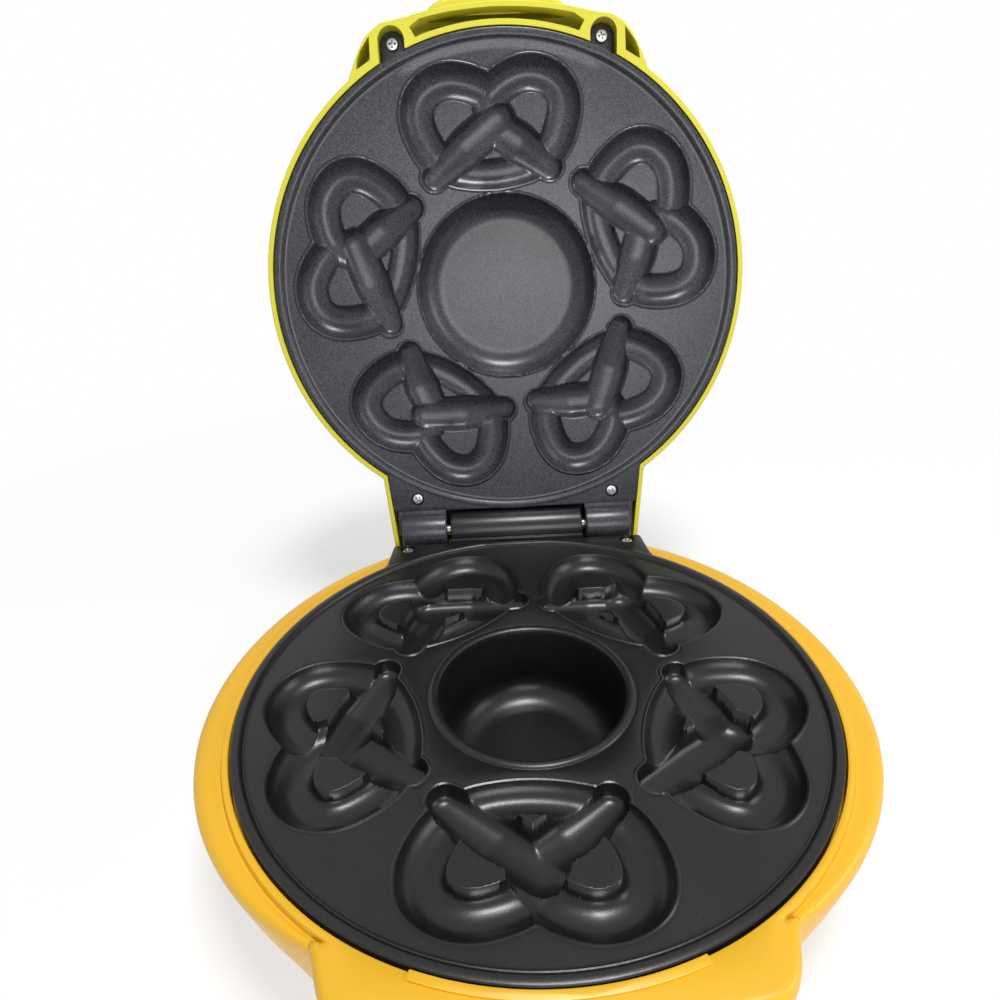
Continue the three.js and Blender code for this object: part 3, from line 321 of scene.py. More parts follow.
# %% Yellow plastics
def moulded_plastic(name, color, rough, peel=0.12):
    material, tree, shader, place = finish_tree(name)
    cloud = noise(tree, place, 14, 2.0)
    soft = tuple(c * 0.93 for c in color)
    drift = noise(tree, place, 90, 3.0)
    fine = noise(tree, place, 900, 2.0)
    feed(tree, shader, {"Base Color": ramp(tree, cloud, [(0.3, soft), (0.7, color)]),
                        "Roughness": spread(tree, drift, rough - 0.06, rough + 0.08),
                        "Normal": bump(tree, fine, peel, 0.08 * MM)})
    return material


base_plastic = moulded_plastic("base_yellow_plastic", (0.73, 0.40, 0.012), 0.36)
lid_plastic = moulded_plastic("lid_yellow_plastic", (0.60, 0.55, 0.028), 0.36)
black_plastic = moulded_plastic("black_plastic", (0.018, 0.018, 0.019), 0.55, 0.3)
white_plastic = moulded_plastic("white_plastic", (0.66, 0.64, 0.58), 0.5)
foot_rubber = moulded_plastic("foot_rubber", (0.022, 0.022, 0.023), 0.78, 0.4)
wire_sleeve = moulded_plastic("wire_sleeve", (0.55, 0.52, 0.46), 0.7, 0.5)
print("plastics ready")

# %% [markdown]
# ### Metals and lenses
# Screws and the hinge pin are plated steel with fine turning marks. The pin's copy of that steel is
# painted darker, as painted shade for the gaps between the knuckles where it shows. The heating tubes are
# browned, the shields are dull pressed sheet. The two lamp lenses are clear coloured plastic.

# %% Metals and lenses
def metal(name, color, rough, marks=(1.0, 1.0, 1.0), tint=None):
    material, tree, shader, place = finish_tree(name)
    stretch = add(tree, "ShaderNodeMapping", {"Vector": place, "Scale": marks})
    lines = noise(tree, stretch.outputs[0], 700, 3.0, 0.6)
    cloud = noise(tree, place, 60, 3.0)
    worn = tint or tuple(c * 0.75 for c in color)
    feed(tree, shader, {"Base Color": ramp(tree, cloud, [(0.35, worn), (0.65, color)]), "Metallic": 1.0,
                        "Roughness": spread(tree, lines, rough - 0.08, rough + 0.12),
                        "Normal": bump(tree, lines, 0.15, 0.06 * MM)})
    return material


bright_steel = metal("bright_steel", (0.62, 0.62, 0.63), 0.26)
# the hinge pin's steel, painted darker for the shade in the knuckle gaps
pin_steel = metal("pin_steel", (0.26, 0.26, 0.27), 0.34)
element_steel = metal("element_steel", (0.24, 0.22, 0.20), 0.48, tint=(0.16, 0.11, 0.08))
shield_sheet = metal("shield_aluminium", (0.62, 0.62, 0.63), 0.42, (6.0, 1.0, 1.0))


def clear_lens(name, color):
    material, tree, shader, place = finish_tree(name)
    deep = tuple(c * 0.6 for c in color)
    tinted = ramp(tree, noise(tree, place, 300), [(0.35, deep), (0.65, color)])
    feed(tree, shader, {"Base Color": tinted, "Roughness": 0.12, "Transmission Weight": 0.35})
    return material


red_lens = clear_lens("red_lens", (0.55, 0.02, 0.015))
green_lens = clear_lens("green_lens", (0.03, 0.38, 0.08))
print("metals and lenses ready")

# %% [markdown]
# ## How a piece is made and handed over
# A piece is drawn closed, in the plate's own frame, then moved to its half in one step, so that its object
# stays at the origin. Its faces are smooth, and edges sharper than an angle stay crisp, apart from those
# that the shape marks as soft.

# %% Piece helper
def hand_over(shape, name, body, material, nodes, crisp=38):
    """Makes the shape a piece of a body that stands for these nodes of the part."""
    mesh = bpy.data.meshes.new(name)
    shape.to_mesh(mesh)
    shape.free()
    mesh.transform(placing[body])
    mesh.materials.append(material)
    mesh.polygons.foreach_set("use_smooth", [True] * len(mesh.polygons))
    mesh.set_sharp_from_angle(angle=math.radians(crisp))
    if "soft_edge" in mesh.attributes:
        soft = np.array([point.value > 0.5 for point in mesh.attributes["soft_edge"].data])
        for edge in mesh.edges:
            if edge.use_edge_sharp and soft[edge.vertices[0]] and soft[edge.vertices[1]]:
                edge.use_edge_sharp = False
    made = bpy.data.objects.new(name, mesh)
    bpy.context.scene.collection.objects.link(made)
    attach(made, body)
    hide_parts(*nodes)
    print(name, len(mesh.polygons), "faces")


# %% [markdown]
# ## Turned skins
# Most forms here are round, but their outline swells into a block, a tongue or a flat. So a profile is
# spun once round, and then every ring of it is set to its own outline: a radius and a height that may
# change with the angle. The angles can crowd together where an outline has a corner.

# %% Turned skins
def even_angles(count, corners, spread_round, extra):
    """Even angles, and some more on both sides of each corner."""
    least_gap = 0.0012
    angles = [i * TURN / count for i in range(count)]
    for corner in corners:
        for i in range(-extra, extra + 1):
            angles.append((corner + spread_round * i / extra) % TURN)
    angles = sorted(set(round(a, 6) for a in angles))
    kept = [angles[0]]
    for angle in angles[1:]:
        if angle - kept[-1] > least_gap:
            kept.append(angle)
    return np.array(kept)


def turned_skin(rings, angles, closed=True):
    """A skin of rings. Each vertex says by its first, spun place to which ring and step it belongs."""
    shape = bmesh.new()
    count = len(angles)
    start = 100
    verts = [shape.verts.new((start + i, 0, 0)) for i in range(len(rings))]
    edges = [shape.edges.new(pair) for pair in zip(verts, verts[1:])]
    if closed:
        edges.append(shape.edges.new((verts[-1], verts[0])))
    bmesh.ops.spin(shape, geom=verts + edges, cent=(0, 0, 0), axis=(0, 0, 1), dvec=(0, 0, 0),
                   angle=TURN, steps=count, use_merge=True, use_duplicate=False)
    skin = list(shape.verts)
    flat = np.array([v.co[:2] for v in skin])
    ring = np.rint(np.hypot(flat[:, 0], flat[:, 1])).astype(int) - start
    step = np.rint((np.arctan2(flat[:, 1], flat[:, 0]) % TURN) / (TURN / count)).astype(int) % count

    def every(value):
        return np.broadcast_to(value(angles) if callable(value) else value, angles.shape)

    turn = angles[step]
    radius = np.array([every(r) for r, _ in rings])[ring, step]
    height = np.array([every(z) for _, z in rings])[ring, step]
    for v, x, y, z in zip(skin, radius * np.cos(turn), radius * np.sin(turn), height):
        v.co = (x, y, z)
    bmesh.ops.remove_doubles(shape, verts=skin, dist=1e-6)
    loose = [edge for edge in shape.edges if not edge.link_faces]
    bmesh.ops.delete(shape, geom=loose, context="EDGES")
    bmesh.ops.recalc_face_normals(shape, faces=shape.faces)
    return shape


def outline_radius(points, angles):
    """How far a closed outline lies from the centre in each direction, or nothing where it isn't met."""
    ring = np.array(points)
    reach = np.zeros(len(angles))
    ray = np.stack([np.cos(angles), np.sin(angles)], 1)
    for a, b in zip(ring, np.roll(ring, -1, 0)):
        edge = b - a
        cross = ray[:, 0] * edge[1] - ray[:, 1] * edge[0]
        safe = np.where(np.abs(cross) < 1e-12, 1e-12, cross)
        along = (a[0] * edge[1] - a[1] * edge[0]) / safe
        share = (a[0] * ray[:, 1] - a[1] * ray[:, 0]) / safe
        met = (share >= -1e-9) & (share <= 1 + 1e-9) & (along > 0)
        reach = np.where(met, np.maximum(reach, along), reach)
    return reach


def soft_max(a, b, soft):
    """The larger of two values, with a rounded change from one to the other."""
    gap = np.clip(0.5 + 0.5 * (a - b) / soft, 0, 1)
    return b + (a - b) * gap + soft * gap * (1 - gap)


print("turned skins ready")

# %% [markdown]
# ## Small shapes
# Small parts are turned from a profile or raised from an outline. Holes are cut with closed cutters, and
# pieces that a part is made of are gathered into one shape.

# %% Small shapes
def lathe(shape, profile, segments, place=None, closed=True):
    """A small turned part: the profile's points (radius, height) spun about Z, then put in its place."""
    old = set(shape.verts)
    verts = [shape.verts.new((r, 0, z)) for r, z in profile]
    edges = [shape.edges.new(pair) for pair in zip(verts, verts[1:])]
    if closed:
        edges.append(shape.edges.new((verts[-1], verts[0])))
    bmesh.ops.spin(shape, geom=verts + edges, cent=(0, 0, 0), axis=(0, 0, 1), dvec=(0, 0, 0),
                   angle=TURN, steps=segments, use_merge=True, use_duplicate=False)
    fresh = [v for v in shape.verts if v not in old]
    bmesh.ops.remove_doubles(shape, verts=fresh, dist=1e-7)
    fresh = [v for v in shape.verts if v not in old]
    faces = list({f for v in fresh for f in v.link_faces})
    bmesh.ops.recalc_face_normals(shape, faces=faces)
    if place is not None:
        bmesh.ops.transform(shape, matrix=place, verts=fresh)


def slab(shape, points, low, high, edge=0.0, segments=3):
    """A flat piece: an outline raised to a thickness, with rounded edges."""
    least_corner = math.radians(25)
    old = set(shape.verts)
    verts = [shape.verts.new((x, y, low)) for x, y in points]
    bottom = shape.faces.new(verts)
    raised = bmesh.ops.extrude_face_region(shape, geom=[bottom])
    top = [v for v in raised["geom"] if isinstance(v, bmesh.types.BMVert)]
    bmesh.ops.translate(shape, verts=top, vec=(0, 0, high - low))
    fresh = [v for v in shape.verts if v not in old]
    faces = list({f for v in fresh for f in v.link_faces})
    bmesh.ops.recalc_face_normals(shape, faces=faces)
    if edge:
        edges = list({e for v in fresh for e in v.link_edges})
        sharp = [e for e in edges if e.calc_face_angle(0) > least_corner]
        bmesh.ops.bevel(shape, geom=sharp, offset=edge, offset_type="OFFSET", affect="EDGES",
                        segments=segments, profile=0.5, material=-1)
    return [v for v in shape.verts if v not in old]


def prism(points, low, high):
    """A raised outline, all in mm."""
    shape = bmesh.new()
    slab(shape, [(x * MM, y * MM) for x, y in points], low * MM, high * MM)
    return shape


def carve(shape, *cutters):
    """The shape less some closed cutters, by exact booleans."""
    base_mesh = bpy.data.meshes.new("carved")
    shape.to_mesh(base_mesh)
    shape.free()
    carved = bpy.data.objects.new("carved", base_mesh)
    bpy.context.scene.collection.objects.link(carved)
    spent = []
    for cutter in cutters:
        tool_mesh = bpy.data.meshes.new("cutter")
        cutter.to_mesh(tool_mesh)
        cutter.free()
        tool = bpy.data.objects.new("cutter", tool_mesh)
        bpy.context.scene.collection.objects.link(tool)
        cut = carved.modifiers.new("cut", "BOOLEAN")
        cut.operation = "DIFFERENCE"
        cut.solver = "EXACT"
        cut.object = tool
        spent.append(tool)
    depsgraph = bpy.context.evaluated_depsgraph_get()
    result = bpy.data.meshes.new_from_object(carved.evaluated_get(depsgraph))
    for spare in [carved, *spent]:
        bpy.data.objects.remove(spare)
    done = bmesh.new()
    done.from_mesh(result)
    bpy.data.meshes.remove(result)
    return done


def taken_in(shape, *others):
    """Adds other bmeshes to the shape."""
    for other in others:
        spare = bpy.data.meshes.new("spare")
        other.to_mesh(spare)
        other.free()
        shape.from_mesh(spare)
        bpy.data.meshes.remove(spare)
    return shape


def flipped(shape):
    """The shape turned over, from the lower to the upper side of the parting plane."""
    bmesh.ops.scale(shape, vec=(1, 1, -1), verts=shape.verts)
    bmesh.ops.reverse_faces(shape, faces=shape.faces)
    return shape


print("shape helpers ready")

# %% [markdown]
# ## The cast plates
# The moulds are channels with round floors. A pretzel has one loop strand, whose end runs on into the
# crossing, and two arms that lie deeper. Each strand is a ball moved along a smooth line, so its depth at
# a point is the deepest ball there. The arms end in round noses that cut the corners of the bow, which
# gives the creases.

# %% Sizes of the plates
plate_radius = 118 * MM
face_level = 1.8 * MM
pattern_turn = math.radians(-3.3)
mould_count = 5
strand_radius = 8.2 * MM
bow_radius = 7.1 * MM
arm_radius = 9.2 * MM
arm_end_radius = 6.0 * MM
arm_nose_radius = 8.3 * MM
arm_drop = 2.8 * MM
loop_hollow = 0.86
arm_hollow = 0.78
arm_square = 0.55
post_square = 0.62
draft = math.tan(math.radians(8))
mouth_lean = 1.03
wall_step = 0.6 * MM
deepest_edge = 5.5 * MM
snap_slack = 0.15 * MM
island_rim = 0.3 * MM
lip_step = 0.65 * MM
lip_levels = [0, 0.30 * MM, -0.13 * MM, -0.05 * MM, 0]
pitch = 0.6 * MM
flat_radius = 0.948 * plate_radius
ring_reach = 0.9935 * plate_radius
lower_screw = (59.2, 112.2)
upper_rear_screw = (53.5, 110.4)
upper_front_screw = (50.2, -113.9)

loop_shares = [(0.03, 0.715), (0.0, 0.757), (-0.06, 0.797), (-0.17, 0.826), (-0.27, 0.785),
               (-0.305, 0.70), (-0.278, 0.60), (-0.235, 0.533), (-0.15, 0.478), (0, 0.457),
               (0.15, 0.478), (0.235, 0.533), (0.278, 0.60), (0.305, 0.70), (0.27, 0.785),
               (0.17, 0.826)]
left_arm_shares = [(-0.258, 0.467), (-0.163, 0.537), (-0.055, 0.614), (0.028, 0.668)]
right_arm_shares = [(0.226, 0.465), (0.15, 0.535), (0.062, 0.604), (0.0, 0.645)]
crossing_shares = [(0.07, 0.80), (0.005, 0.752), (-0.02, 0.70)]
island_shares = [(-0.165, 0.69, 0.09), (0.165, 0.69, 0.09), (0.01, 0.555, 0.05)]


def smooth_path(shares, steps=36, passes=220):
    """A smooth line through the points, as little steps, evened so that no bend is tight."""
    points = np.array(shares) * (plate_radius, -plate_radius)
    ends = np.vstack([2 * points[0] - points[1], points, 2 * points[-1] - points[-2]])
    t = np.linspace(0, 1, steps, endpoint=False)[:, None]
    line = []
    for a, b, c, d in zip(ends, ends[1:], ends[2:], ends[3:]):
        line.append(0.5 * (2 * b + (c - a) * t + (2 * a - 5 * b + 4 * c - d) * t ** 2
                           + (3 * b - a - 3 * c + d) * t ** 3))
    line = np.vstack([*line, points[-1:]])
    for _ in range(passes):
        line[1:-1] = 0.25 * line[:-2] + 0.5 * line[1:-1] + 0.25 * line[2:]
    return line


def strand(shares, radius_at, drop_at, hollow, squareness=0.0):
    """A strand: its line, radius, drop, how hollow it is, how square, and the way to its island."""
    line = smooth_path(shares)
    share = np.linspace(0, 1, len(line))
    posts = np.array([place[:2] for place in island_shares]) * (plate_radius, -plate_radius)
    way = posts[None] - line[:, None]
    length = np.maximum(np.hypot(way[..., 0], way[..., 1]), 1 * MM)
    pull = 1 / length ** 2
    inward = (way * (pull / length)[..., None]).sum(1) / pull.sum(1)[:, None]
    if squareness:
        inward = 0 * inward
    return line, radius_at(share), drop_at(share), hollow, squareness, inward


tail_start = 15 / 18
loop_strand = strand(
    loop_shares + crossing_shares,
    lambda s: np.interp(s, [0, 0.083, 0.375, 0.458, 0.542, 0.625, 0.933, 1],
                        [6.4 * MM, strand_radius, strand_radius, bow_radius, bow_radius, strand_radius,
                         strand_radius, 6.6 * MM]),
    lambda s: arm_drop * 0.55 * np.clip((s - tail_start) / (1 - tail_start), 0, 1) ** 1.3,
    loop_hollow)
left_arm = strand(
    left_arm_shares,
    lambda s: np.interp(s, [0, 0.5, 1], [arm_end_radius, arm_radius, arm_nose_radius]),
    lambda s: arm_drop * (1 + 0.35 * s),
    arm_hollow, arm_square)
right_arm = strand(
    right_arm_shares,
    lambda s: np.interp(s, [0, 0.5, 1], [arm_end_radius, arm_radius, arm_nose_radius]),
    lambda s: arm_drop * (1 + 0.05 * s),
    arm_hollow, arm_square)
strands = [loop_strand, right_arm, left_arm]
print("strand points:", [len(line) for line, *_ in strands])

# %% [markdown]
# ### Depth of the plate at any place
# For every place on the plate we turn to the nearest mould and ask three things: how deep the channel is,
# how far inside the channels' edge we are, and how far inside the whole mould's outline, islands and all.
# Outside that outline runs a small raised lip, and a fine groove at its foot.

# %% Depth of the moulds
def to_mould(x, y):
    """Places turned to the first mould, and the turn that brought them there."""
    sector = TURN / mould_count
    number = np.rint((np.arctan2(y, x) + math.pi / 2 - pattern_turn) / sector)
    turn = -(number * sector + pattern_turn)
    return x * np.cos(turn) - y * np.sin(turn), x * np.sin(turn) + y * np.cos(turn), turn


def channel_floor(far, radius, square):
    """Depth of a channel at a distance from its line: round, or with steep walls and a wide floor."""
    wide = radius * mouth_lean
    rise = np.sqrt(np.maximum(wide ** 2 - far ** 2, 0)) - np.sqrt(wide ** 2 - radius ** 2)
    rounded = np.maximum(rise, 0) * radius / (wide - np.sqrt(wide ** 2 - radius ** 2))
    squared = (far / wide) ** 2
    boxed = radius * np.sqrt(np.sqrt(np.maximum(1 - squared * squared * squared, 0)))
    return rounded + (boxed - rounded) * square


def mould_depth(x, y):
    """Depth, how far inside the channels and the outline a place lies, and the nearest strand point."""
    depth = np.zeros(len(x))
    inside = np.full(len(x), -1.0)
    nearest = np.zeros((len(x), 2))
    for line, radius, drop, hollow, squareness, inward in strands:
        mouth = radius + drop * draft
        for at in range(0, len(x), 3000):
            piece = slice(at, at + 3000)
            across = x[piece, None] - line[None, :, 0]
            along = y[piece, None] - line[None, :, 1]
            far = np.hypot(across, along)
            toward_post = (across * inward[:, 0] + along * inward[:, 1]) / np.maximum(far, 1e-9)
            square = np.maximum(squareness, post_square * np.clip(toward_post, 0, 1))
            ball = drop + hollow * channel_floor(far, radius, square)
            wall = (mouth - far) / draft
            here = np.where(far < radius, ball, np.clip(wall, 0, drop)).max(1)
            room = mouth - far
            best = room.argmax(1)
            gain = room[np.arange(len(best)), best]
            depth[piece] = np.where((here > 0) & (depth[piece] > 0),
                                    soft_max(depth[piece], here, 0.5 * MM), np.maximum(depth[piece], here))
            closer = gain > inside[piece]
            target = line[best]
            nearest[piece] = np.where(closer[:, None], target, nearest[piece])
            inside[piece] = np.maximum(inside[piece], gain)
    outline = inside.copy()
    for across, out, share in island_shares:
        far = np.hypot(x - across * plate_radius, y + out * plate_radius)
        outline = np.maximum(outline, share * plate_radius - far)
    return depth, inside, outline, nearest


def lip(beyond):
    """Height of the raised lip, and of the fine groove at its foot, at a distance beyond an edge."""
    steps = np.arange(len(lip_levels)) * lip_step
    return np.interp(beyond, steps, lip_levels, left=0, right=0)


def crease_shade_at(beyond):
    """How much painted shade the groove gets at a distance beyond an edge."""
    return np.clip(1 - np.abs(beyond - 2 * lip_step) / lip_step, 0, 1)


def toward(x, y, nearest, room, goal):
    """Moves places so that they lie exactly at a goal distance inside the channels' edge."""
    away = np.stack([x, y], 1) - nearest
    far = np.maximum(np.hypot(away[:, 0], away[:, 1]), 1e-9)
    scale = (far + room - goal) / far
    moved = nearest + away * scale[:, None]
    return moved[:, 0], moved[:, 1]


print("edge draft:", round(draft, 3))

# %% [markdown]
# ### The face of a plate
# A fine grid covers only the moulds. Grid points near an edge are nudged onto it, so that every lip runs
# as a clean line. A triangle fill then closes the flat parts between the moulds, the middle and the ring.

# %% Face of a plate
well_radius = 36.8 * MM
well_floor = 23.6 * MM
well_depth = 36 * MM
well_mouth = 0.363 * plate_radius
well_steps = 144
recess_radius = 0.380 * plate_radius
recess_floor = 0.27 * plate_radius
recess_depth = 12.5 * MM
ring_steps = 300
grid_half = 0.94 * plate_radius
margin = 4 * lip_step + 0.3 * MM


def crescent(x, y):
    """The soft rise at the front of the upper plate, between the moulds and the ring."""
    radius = np.hypot(x, y)
    across = np.clip((0.42 * plate_radius - np.abs(x)) / (0.06 * plate_radius), 0, 1) * (y < 0)
    out = np.clip((radius - 0.918 * plate_radius) / (0.052 * plate_radius), 0, 1)
    return 1.5 * MM * across * out ** 2


def recess_profile(radius):
    """Depth of the round recess: a flat floor and one large fillet up to the rim."""
    share = np.clip((radius - recess_floor) / (recess_radius - recess_floor), 0, 1)
    return recess_depth * np.sqrt(np.maximum(0, 1 - share ** 2.2)) * (radius < recess_radius)


def nudged(x, y):
    """Places with those near an edge moved onto it, how they lie in the moulds, and the edge lines."""
    radius = np.hypot(x, y)
    near = (radius < 0.946 * plate_radius) & (radius > 0.30 * plate_radius)
    mx, my, turn = to_mould(x, y)
    depth = np.zeros(len(x))
    inside = np.full(len(x), -1.0)
    outline = np.full(len(x), -1.0)
    nearest = np.zeros((len(x), 2))
    depth[near], inside[near], outline[near], nearest[near] = mould_depth(mx[near], my[near])
    wanted = outline > -margin
    contours = []
    fixed = np.zeros(len(x), bool)
    for goal in [wall_step, *(-i * lip_step for i in range(5))]:
        lie = near & (np.abs(inside - goal) < 0.5 * pitch) & ~fixed & (depth < deepest_edge)
        if goal < 0:
            lie &= outline <= inside + 1e-9
        moved_x, moved_y = toward(mx[lie], my[lie], nearest[lie], inside[lie], goal)
        moved_depth, moved_inside, _, _ = mould_depth(moved_x, moved_y)
        good = np.abs(moved_inside - goal) < snap_slack
        lie[np.flatnonzero(lie)[~good]] = False
        mx[lie] = moved_x[good]
        my[lie] = moved_y[good]
        inside[lie] = goal
        outline[lie] = np.maximum(outline[lie], goal) if goal >= 0 else goal
        depth[lie] = moved_depth[good] if goal > 0 else 0
        fixed |= lie
        contours.append(lie)
    x = np.where(fixed, mx * np.cos(turn) + my * np.sin(turn), x)
    y = np.where(fixed, my * np.cos(turn) - mx * np.sin(turn), y)
    return x, y, depth, outline, wanted, contours


def face_height(x, y, depth, outline, upper):
    """Height of the face at each place, and how much painted shade the groove gets there."""
    beyond = -outline
    at_edge = (depth == 0) & (beyond > -0.2 * MM)
    height = -face_level - depth + np.where(at_edge, lip(np.maximum(beyond, 0)), 0)
    seam = np.where(beyond > 0, crease_shade_at(beyond), 0)
    if upper:
        radius = np.hypot(x, y)
        rim = radius - recess_radius
        ring_lip = np.where(rim >= 0, lip(np.maximum(rim, 0)), 0)
        height = np.where(rim < 0, np.minimum(height, -face_level - recess_profile(radius)),
                          np.maximum(height, np.where(depth == 0, -face_level + ring_lip, height)))
        seam = np.where((rim > 0) & (beyond > 2 * lip_step), np.maximum(seam, crease_shade_at(rim)), seam)
        seam = np.where(rim < lip_step, 0, seam)
        height += crescent(x, y)
    return height, seam


def plate_face(upper):
    """The fine grid over the moulds, and a test whether a place lies on it."""
    shape = bmesh.new()
    cells = int(2 * grid_half / pitch)
    bmesh.ops.create_grid(shape, x_segments=cells, y_segments=cells, size=grid_half)
    shape.verts.ensure_lookup_table()
    flat_x, flat_y = np.array([v.co[:2] for v in shape.verts]).T
    step = 2 * grid_half / cells
    middles = np.array([f.calc_center_median()[:2] for f in shape.faces])
    centres = [(int(a), int(b)) for a, b in (middles + grid_half) // step]
    x, y, depth, outline, wanted, contours = nudged(flat_x, flat_y)
    if upper:
        radius = np.hypot(flat_x, flat_y)
        wanted |= (radius < recess_radius + margin) & (radius > 0.24 * plate_radius)
        wanted |= (crescent(flat_x, flat_y) > 0) & (radius < 0.936 * plate_radius)
    height, seam = face_height(x, y, depth, outline, upper)
    # the painted shade of the grooves goes on the mesh as an attribute
    soft = contours[1] & (outline > island_rim)
    crease_shade_layer = shape.verts.layers.float.new("seam")
    soft_layer = shape.verts.layers.float.new("soft_edge")
    for v, vx, vy, vz, dark, edge in zip(shape.verts, x, y, height, seam, soft):
        v.co = (vx, vy, vz)
        v[crease_shade_layer] = dark
        v[soft_layer] = float(edge)
    cells_in = set()
    spare = []
    for f, cell in zip(shape.faces, centres):
        if any(wanted[v.index] for v in f.verts):
            cells_in.add(cell)
        else:
            spare.append(f)
    vertex = list(shape.verts)
    for lie in contours:
        on_line = [vertex[i] for i in np.flatnonzero(lie)]
        bmesh.ops.connect_verts(shape, verts=on_line, check_degenerate=True)
    bmesh.ops.delete(shape, geom=[f for f in spare if f.is_valid], context="FACES")
    loose = [v for v in shape.verts if not v.link_faces]
    bmesh.ops.delete(shape, geom=loose, context="VERTS")
    print("fine cells", len(cells_in))

    def on_grid(px, py):
        return (int((px + grid_half) // step), int((py + grid_half) // step)) in cells_in

    return shape, on_grid


def ring_of_edges(shape, radius, height, steps):
    """A ring of edges round the middle, at a height that may change with the angle."""
    verts = [shape.verts.new((radius * math.cos(a), radius * math.sin(a), height(a)))
             for a in (i * TURN / steps for i in range(steps))]
    return [shape.edges.new(pair) for pair in zip(verts, verts[1:] + verts[:1])]


print("grid pitch in mm:", round(pitch / MM, 2))

# %% [markdown]
# ### The whole casting of a plate
# The face is filled out to the ring, the ring and the skirt are turned round it, and the back is a plain
# floor behind the moulds. The back is never seen, since the housing covers it, but it closes the piece.

# %% Ring and skirt
# radius of the line of painted shade at the inner foot of the ring
crease_shade_ring = 0.9555 * plate_radius
ring_rows = [
    # share of the plate's radius, share of the rise at the front, drop in mm
    (0.948, 1, 1.8), (0.9555, 1, 1.8), (0.9595, 1, 1.62), (0.9635, 1, 1.72), (0.9655, 0.8, 1.35),
    (0.9695, 0.5, 0.72), (0.9735, 0.15, 0.38), (0.9765, 0, 0.3), (0.9935, 0, 0.3), (0.9975, 0, 0.5),
    (1, 0, 0.95), (1, 0, 9.3)]
# radius and drop in mm
skirt_rows = [(115, 9.3), (115, 4.6), (110, 4.6), (110, 15.4)]
lower_back_rows = [(42, 15.4), (40.2, 28), (26, 40.2), (0, 40.2)]
upper_back_rows = [(0, 15.4)]


def front_rise(angle, upper):
    """Height of the soft rise where the flat part meets the ring."""
    x = flat_radius * math.cos(angle)
    y = flat_radius * math.sin(angle)
    return float(crescent(np.array([x]), np.array([y]))[0]) if upper else 0.0


def between(shape, edges, covered):
    """Fills the flat parts between edges with triangles, except where the fine grid lies."""
    points = list({v for e in edges for v in e.verts})
    number = {v: i for i, v in enumerate(points)}
    pairs = [(number[e.verts[0]], number[e.verts[1]]) for e in edges]
    flat = [(v.co.x / MM, v.co.y / MM) for v in points]
    _, _, faces, origin, _, _ = mathutils.geometry.delaunay_2d_cdt(flat, pairs, [], 0, 1e-5)
    source = [points[o[0]] if o else None for o in origin]
    made = 0
    for face in faces:
        corners = [source[i] for i in face]
        if None in corners:
            continue
        x, y = (sum(v.co[axis] for v in corners) / 3 for axis in (0, 1))
        if covered(x, y):
            continue
        try:
            shape.faces.new(corners)
            made += 1
        except ValueError:
            continue
    print("flat triangles", made, "points dropped", source.count(None))


def dip_well():
    """The deep round well for dip: a bead round its mouth, a steep wall and a large fillet."""
    bead_rows = [(0.3590, 2.02), (0.3555, 1.8), (0.3525, 1.3), (0.3465, 0.98), (0.338, 0.92),
                 (0.330, 1.08), (0.3255, 1.5), (0.3225, 2.4), (0.3190, 4.6)]
    profile = [(well_mouth, -face_level)]
    profile += [(share * plate_radius, -drop * MM) for share, drop in bead_rows]
    fillet = well_radius - well_floor
    bottom = face_level + well_depth
    for i in range(9):
        turn = 0.5 * math.pi * i / 8
        profile.append((well_floor + fillet * math.cos(turn), -bottom + fillet * (1 - math.sin(turn))))
    profile.append((0, -bottom))
    return turned_skin(profile, np.arange(well_steps) * TURN / well_steps, closed=False)


def plate_casting(upper):
    """The face, the ring, the skirt and the back as one closed shape."""
    shape, on_grid = plate_face(upper)
    bounds = [e for e in shape.edges if e.is_boundary]
    bounds += ring_of_edges(shape, flat_radius, lambda a: front_rise(a, upper) - face_level, ring_steps)
    if not upper:
        bounds += ring_of_edges(shape, well_mouth, lambda a: -face_level, well_steps)

    def covered(x, y):
        far = math.hypot(x, y)
        if far > flat_radius or (not upper and far < well_mouth):
            return True
        return on_grid(x, y)

    between(shape, bounds, covered)
    angles = np.arange(ring_steps) * TURN / ring_steps
    wave = np.array([front_rise(a, upper) for a in angles])

    def height(rise, drop):
        return lambda a: wave * rise - drop * MM

    back_rows = skirt_rows + (upper_back_rows if upper else lower_back_rows)
    profile = [(share * plate_radius, height(rise, drop)) for share, rise, drop in ring_rows]
    profile += [(radius * MM, height(0, drop)) for radius, drop in back_rows]
    skin = turned_skin(profile, angles, closed=False)
    # a fine line of painted shade at the inner foot of the ring
    dark = skin.verts.layers.float.new("seam")
    for v in skin.verts:
        far = math.hypot(v.co.x, v.co.y)
        v[dark] = math.exp(-((far - crease_shade_ring) / (0.5 * MM)) ** 2) * 0.8
    taken_in(shape, skin)
    if not upper:
        taken_in(shape, dip_well())
    bmesh.ops.remove_doubles(shape, verts=shape.verts, dist=2e-6)
    bmesh.ops.recalc_face_normals(shape, faces=shape.faces)
    print("open edges of the casting:", sum(e.is_boundary for e in shape.edges))
    return flipped(shape) if upper else shape


print("rows of the ring and skirt:", len(ring_rows) + len(skirt_rows))

# %% [markdown]
# ### Tongue, knuckles and ears
# Behind each plate a flat tongue carries the hinge knuckles. The lower plate has one wide knuckle in the
# middle, the upper one a knuckle at each side and two ears at its front. Their edges are softly rounded,
# as cast parts are.

# %% Tongue and knuckles
barrel_radius = 9.9 * MM
cast_edge = 0.7 * MM
outside_ring = 1.003 * plate_radius


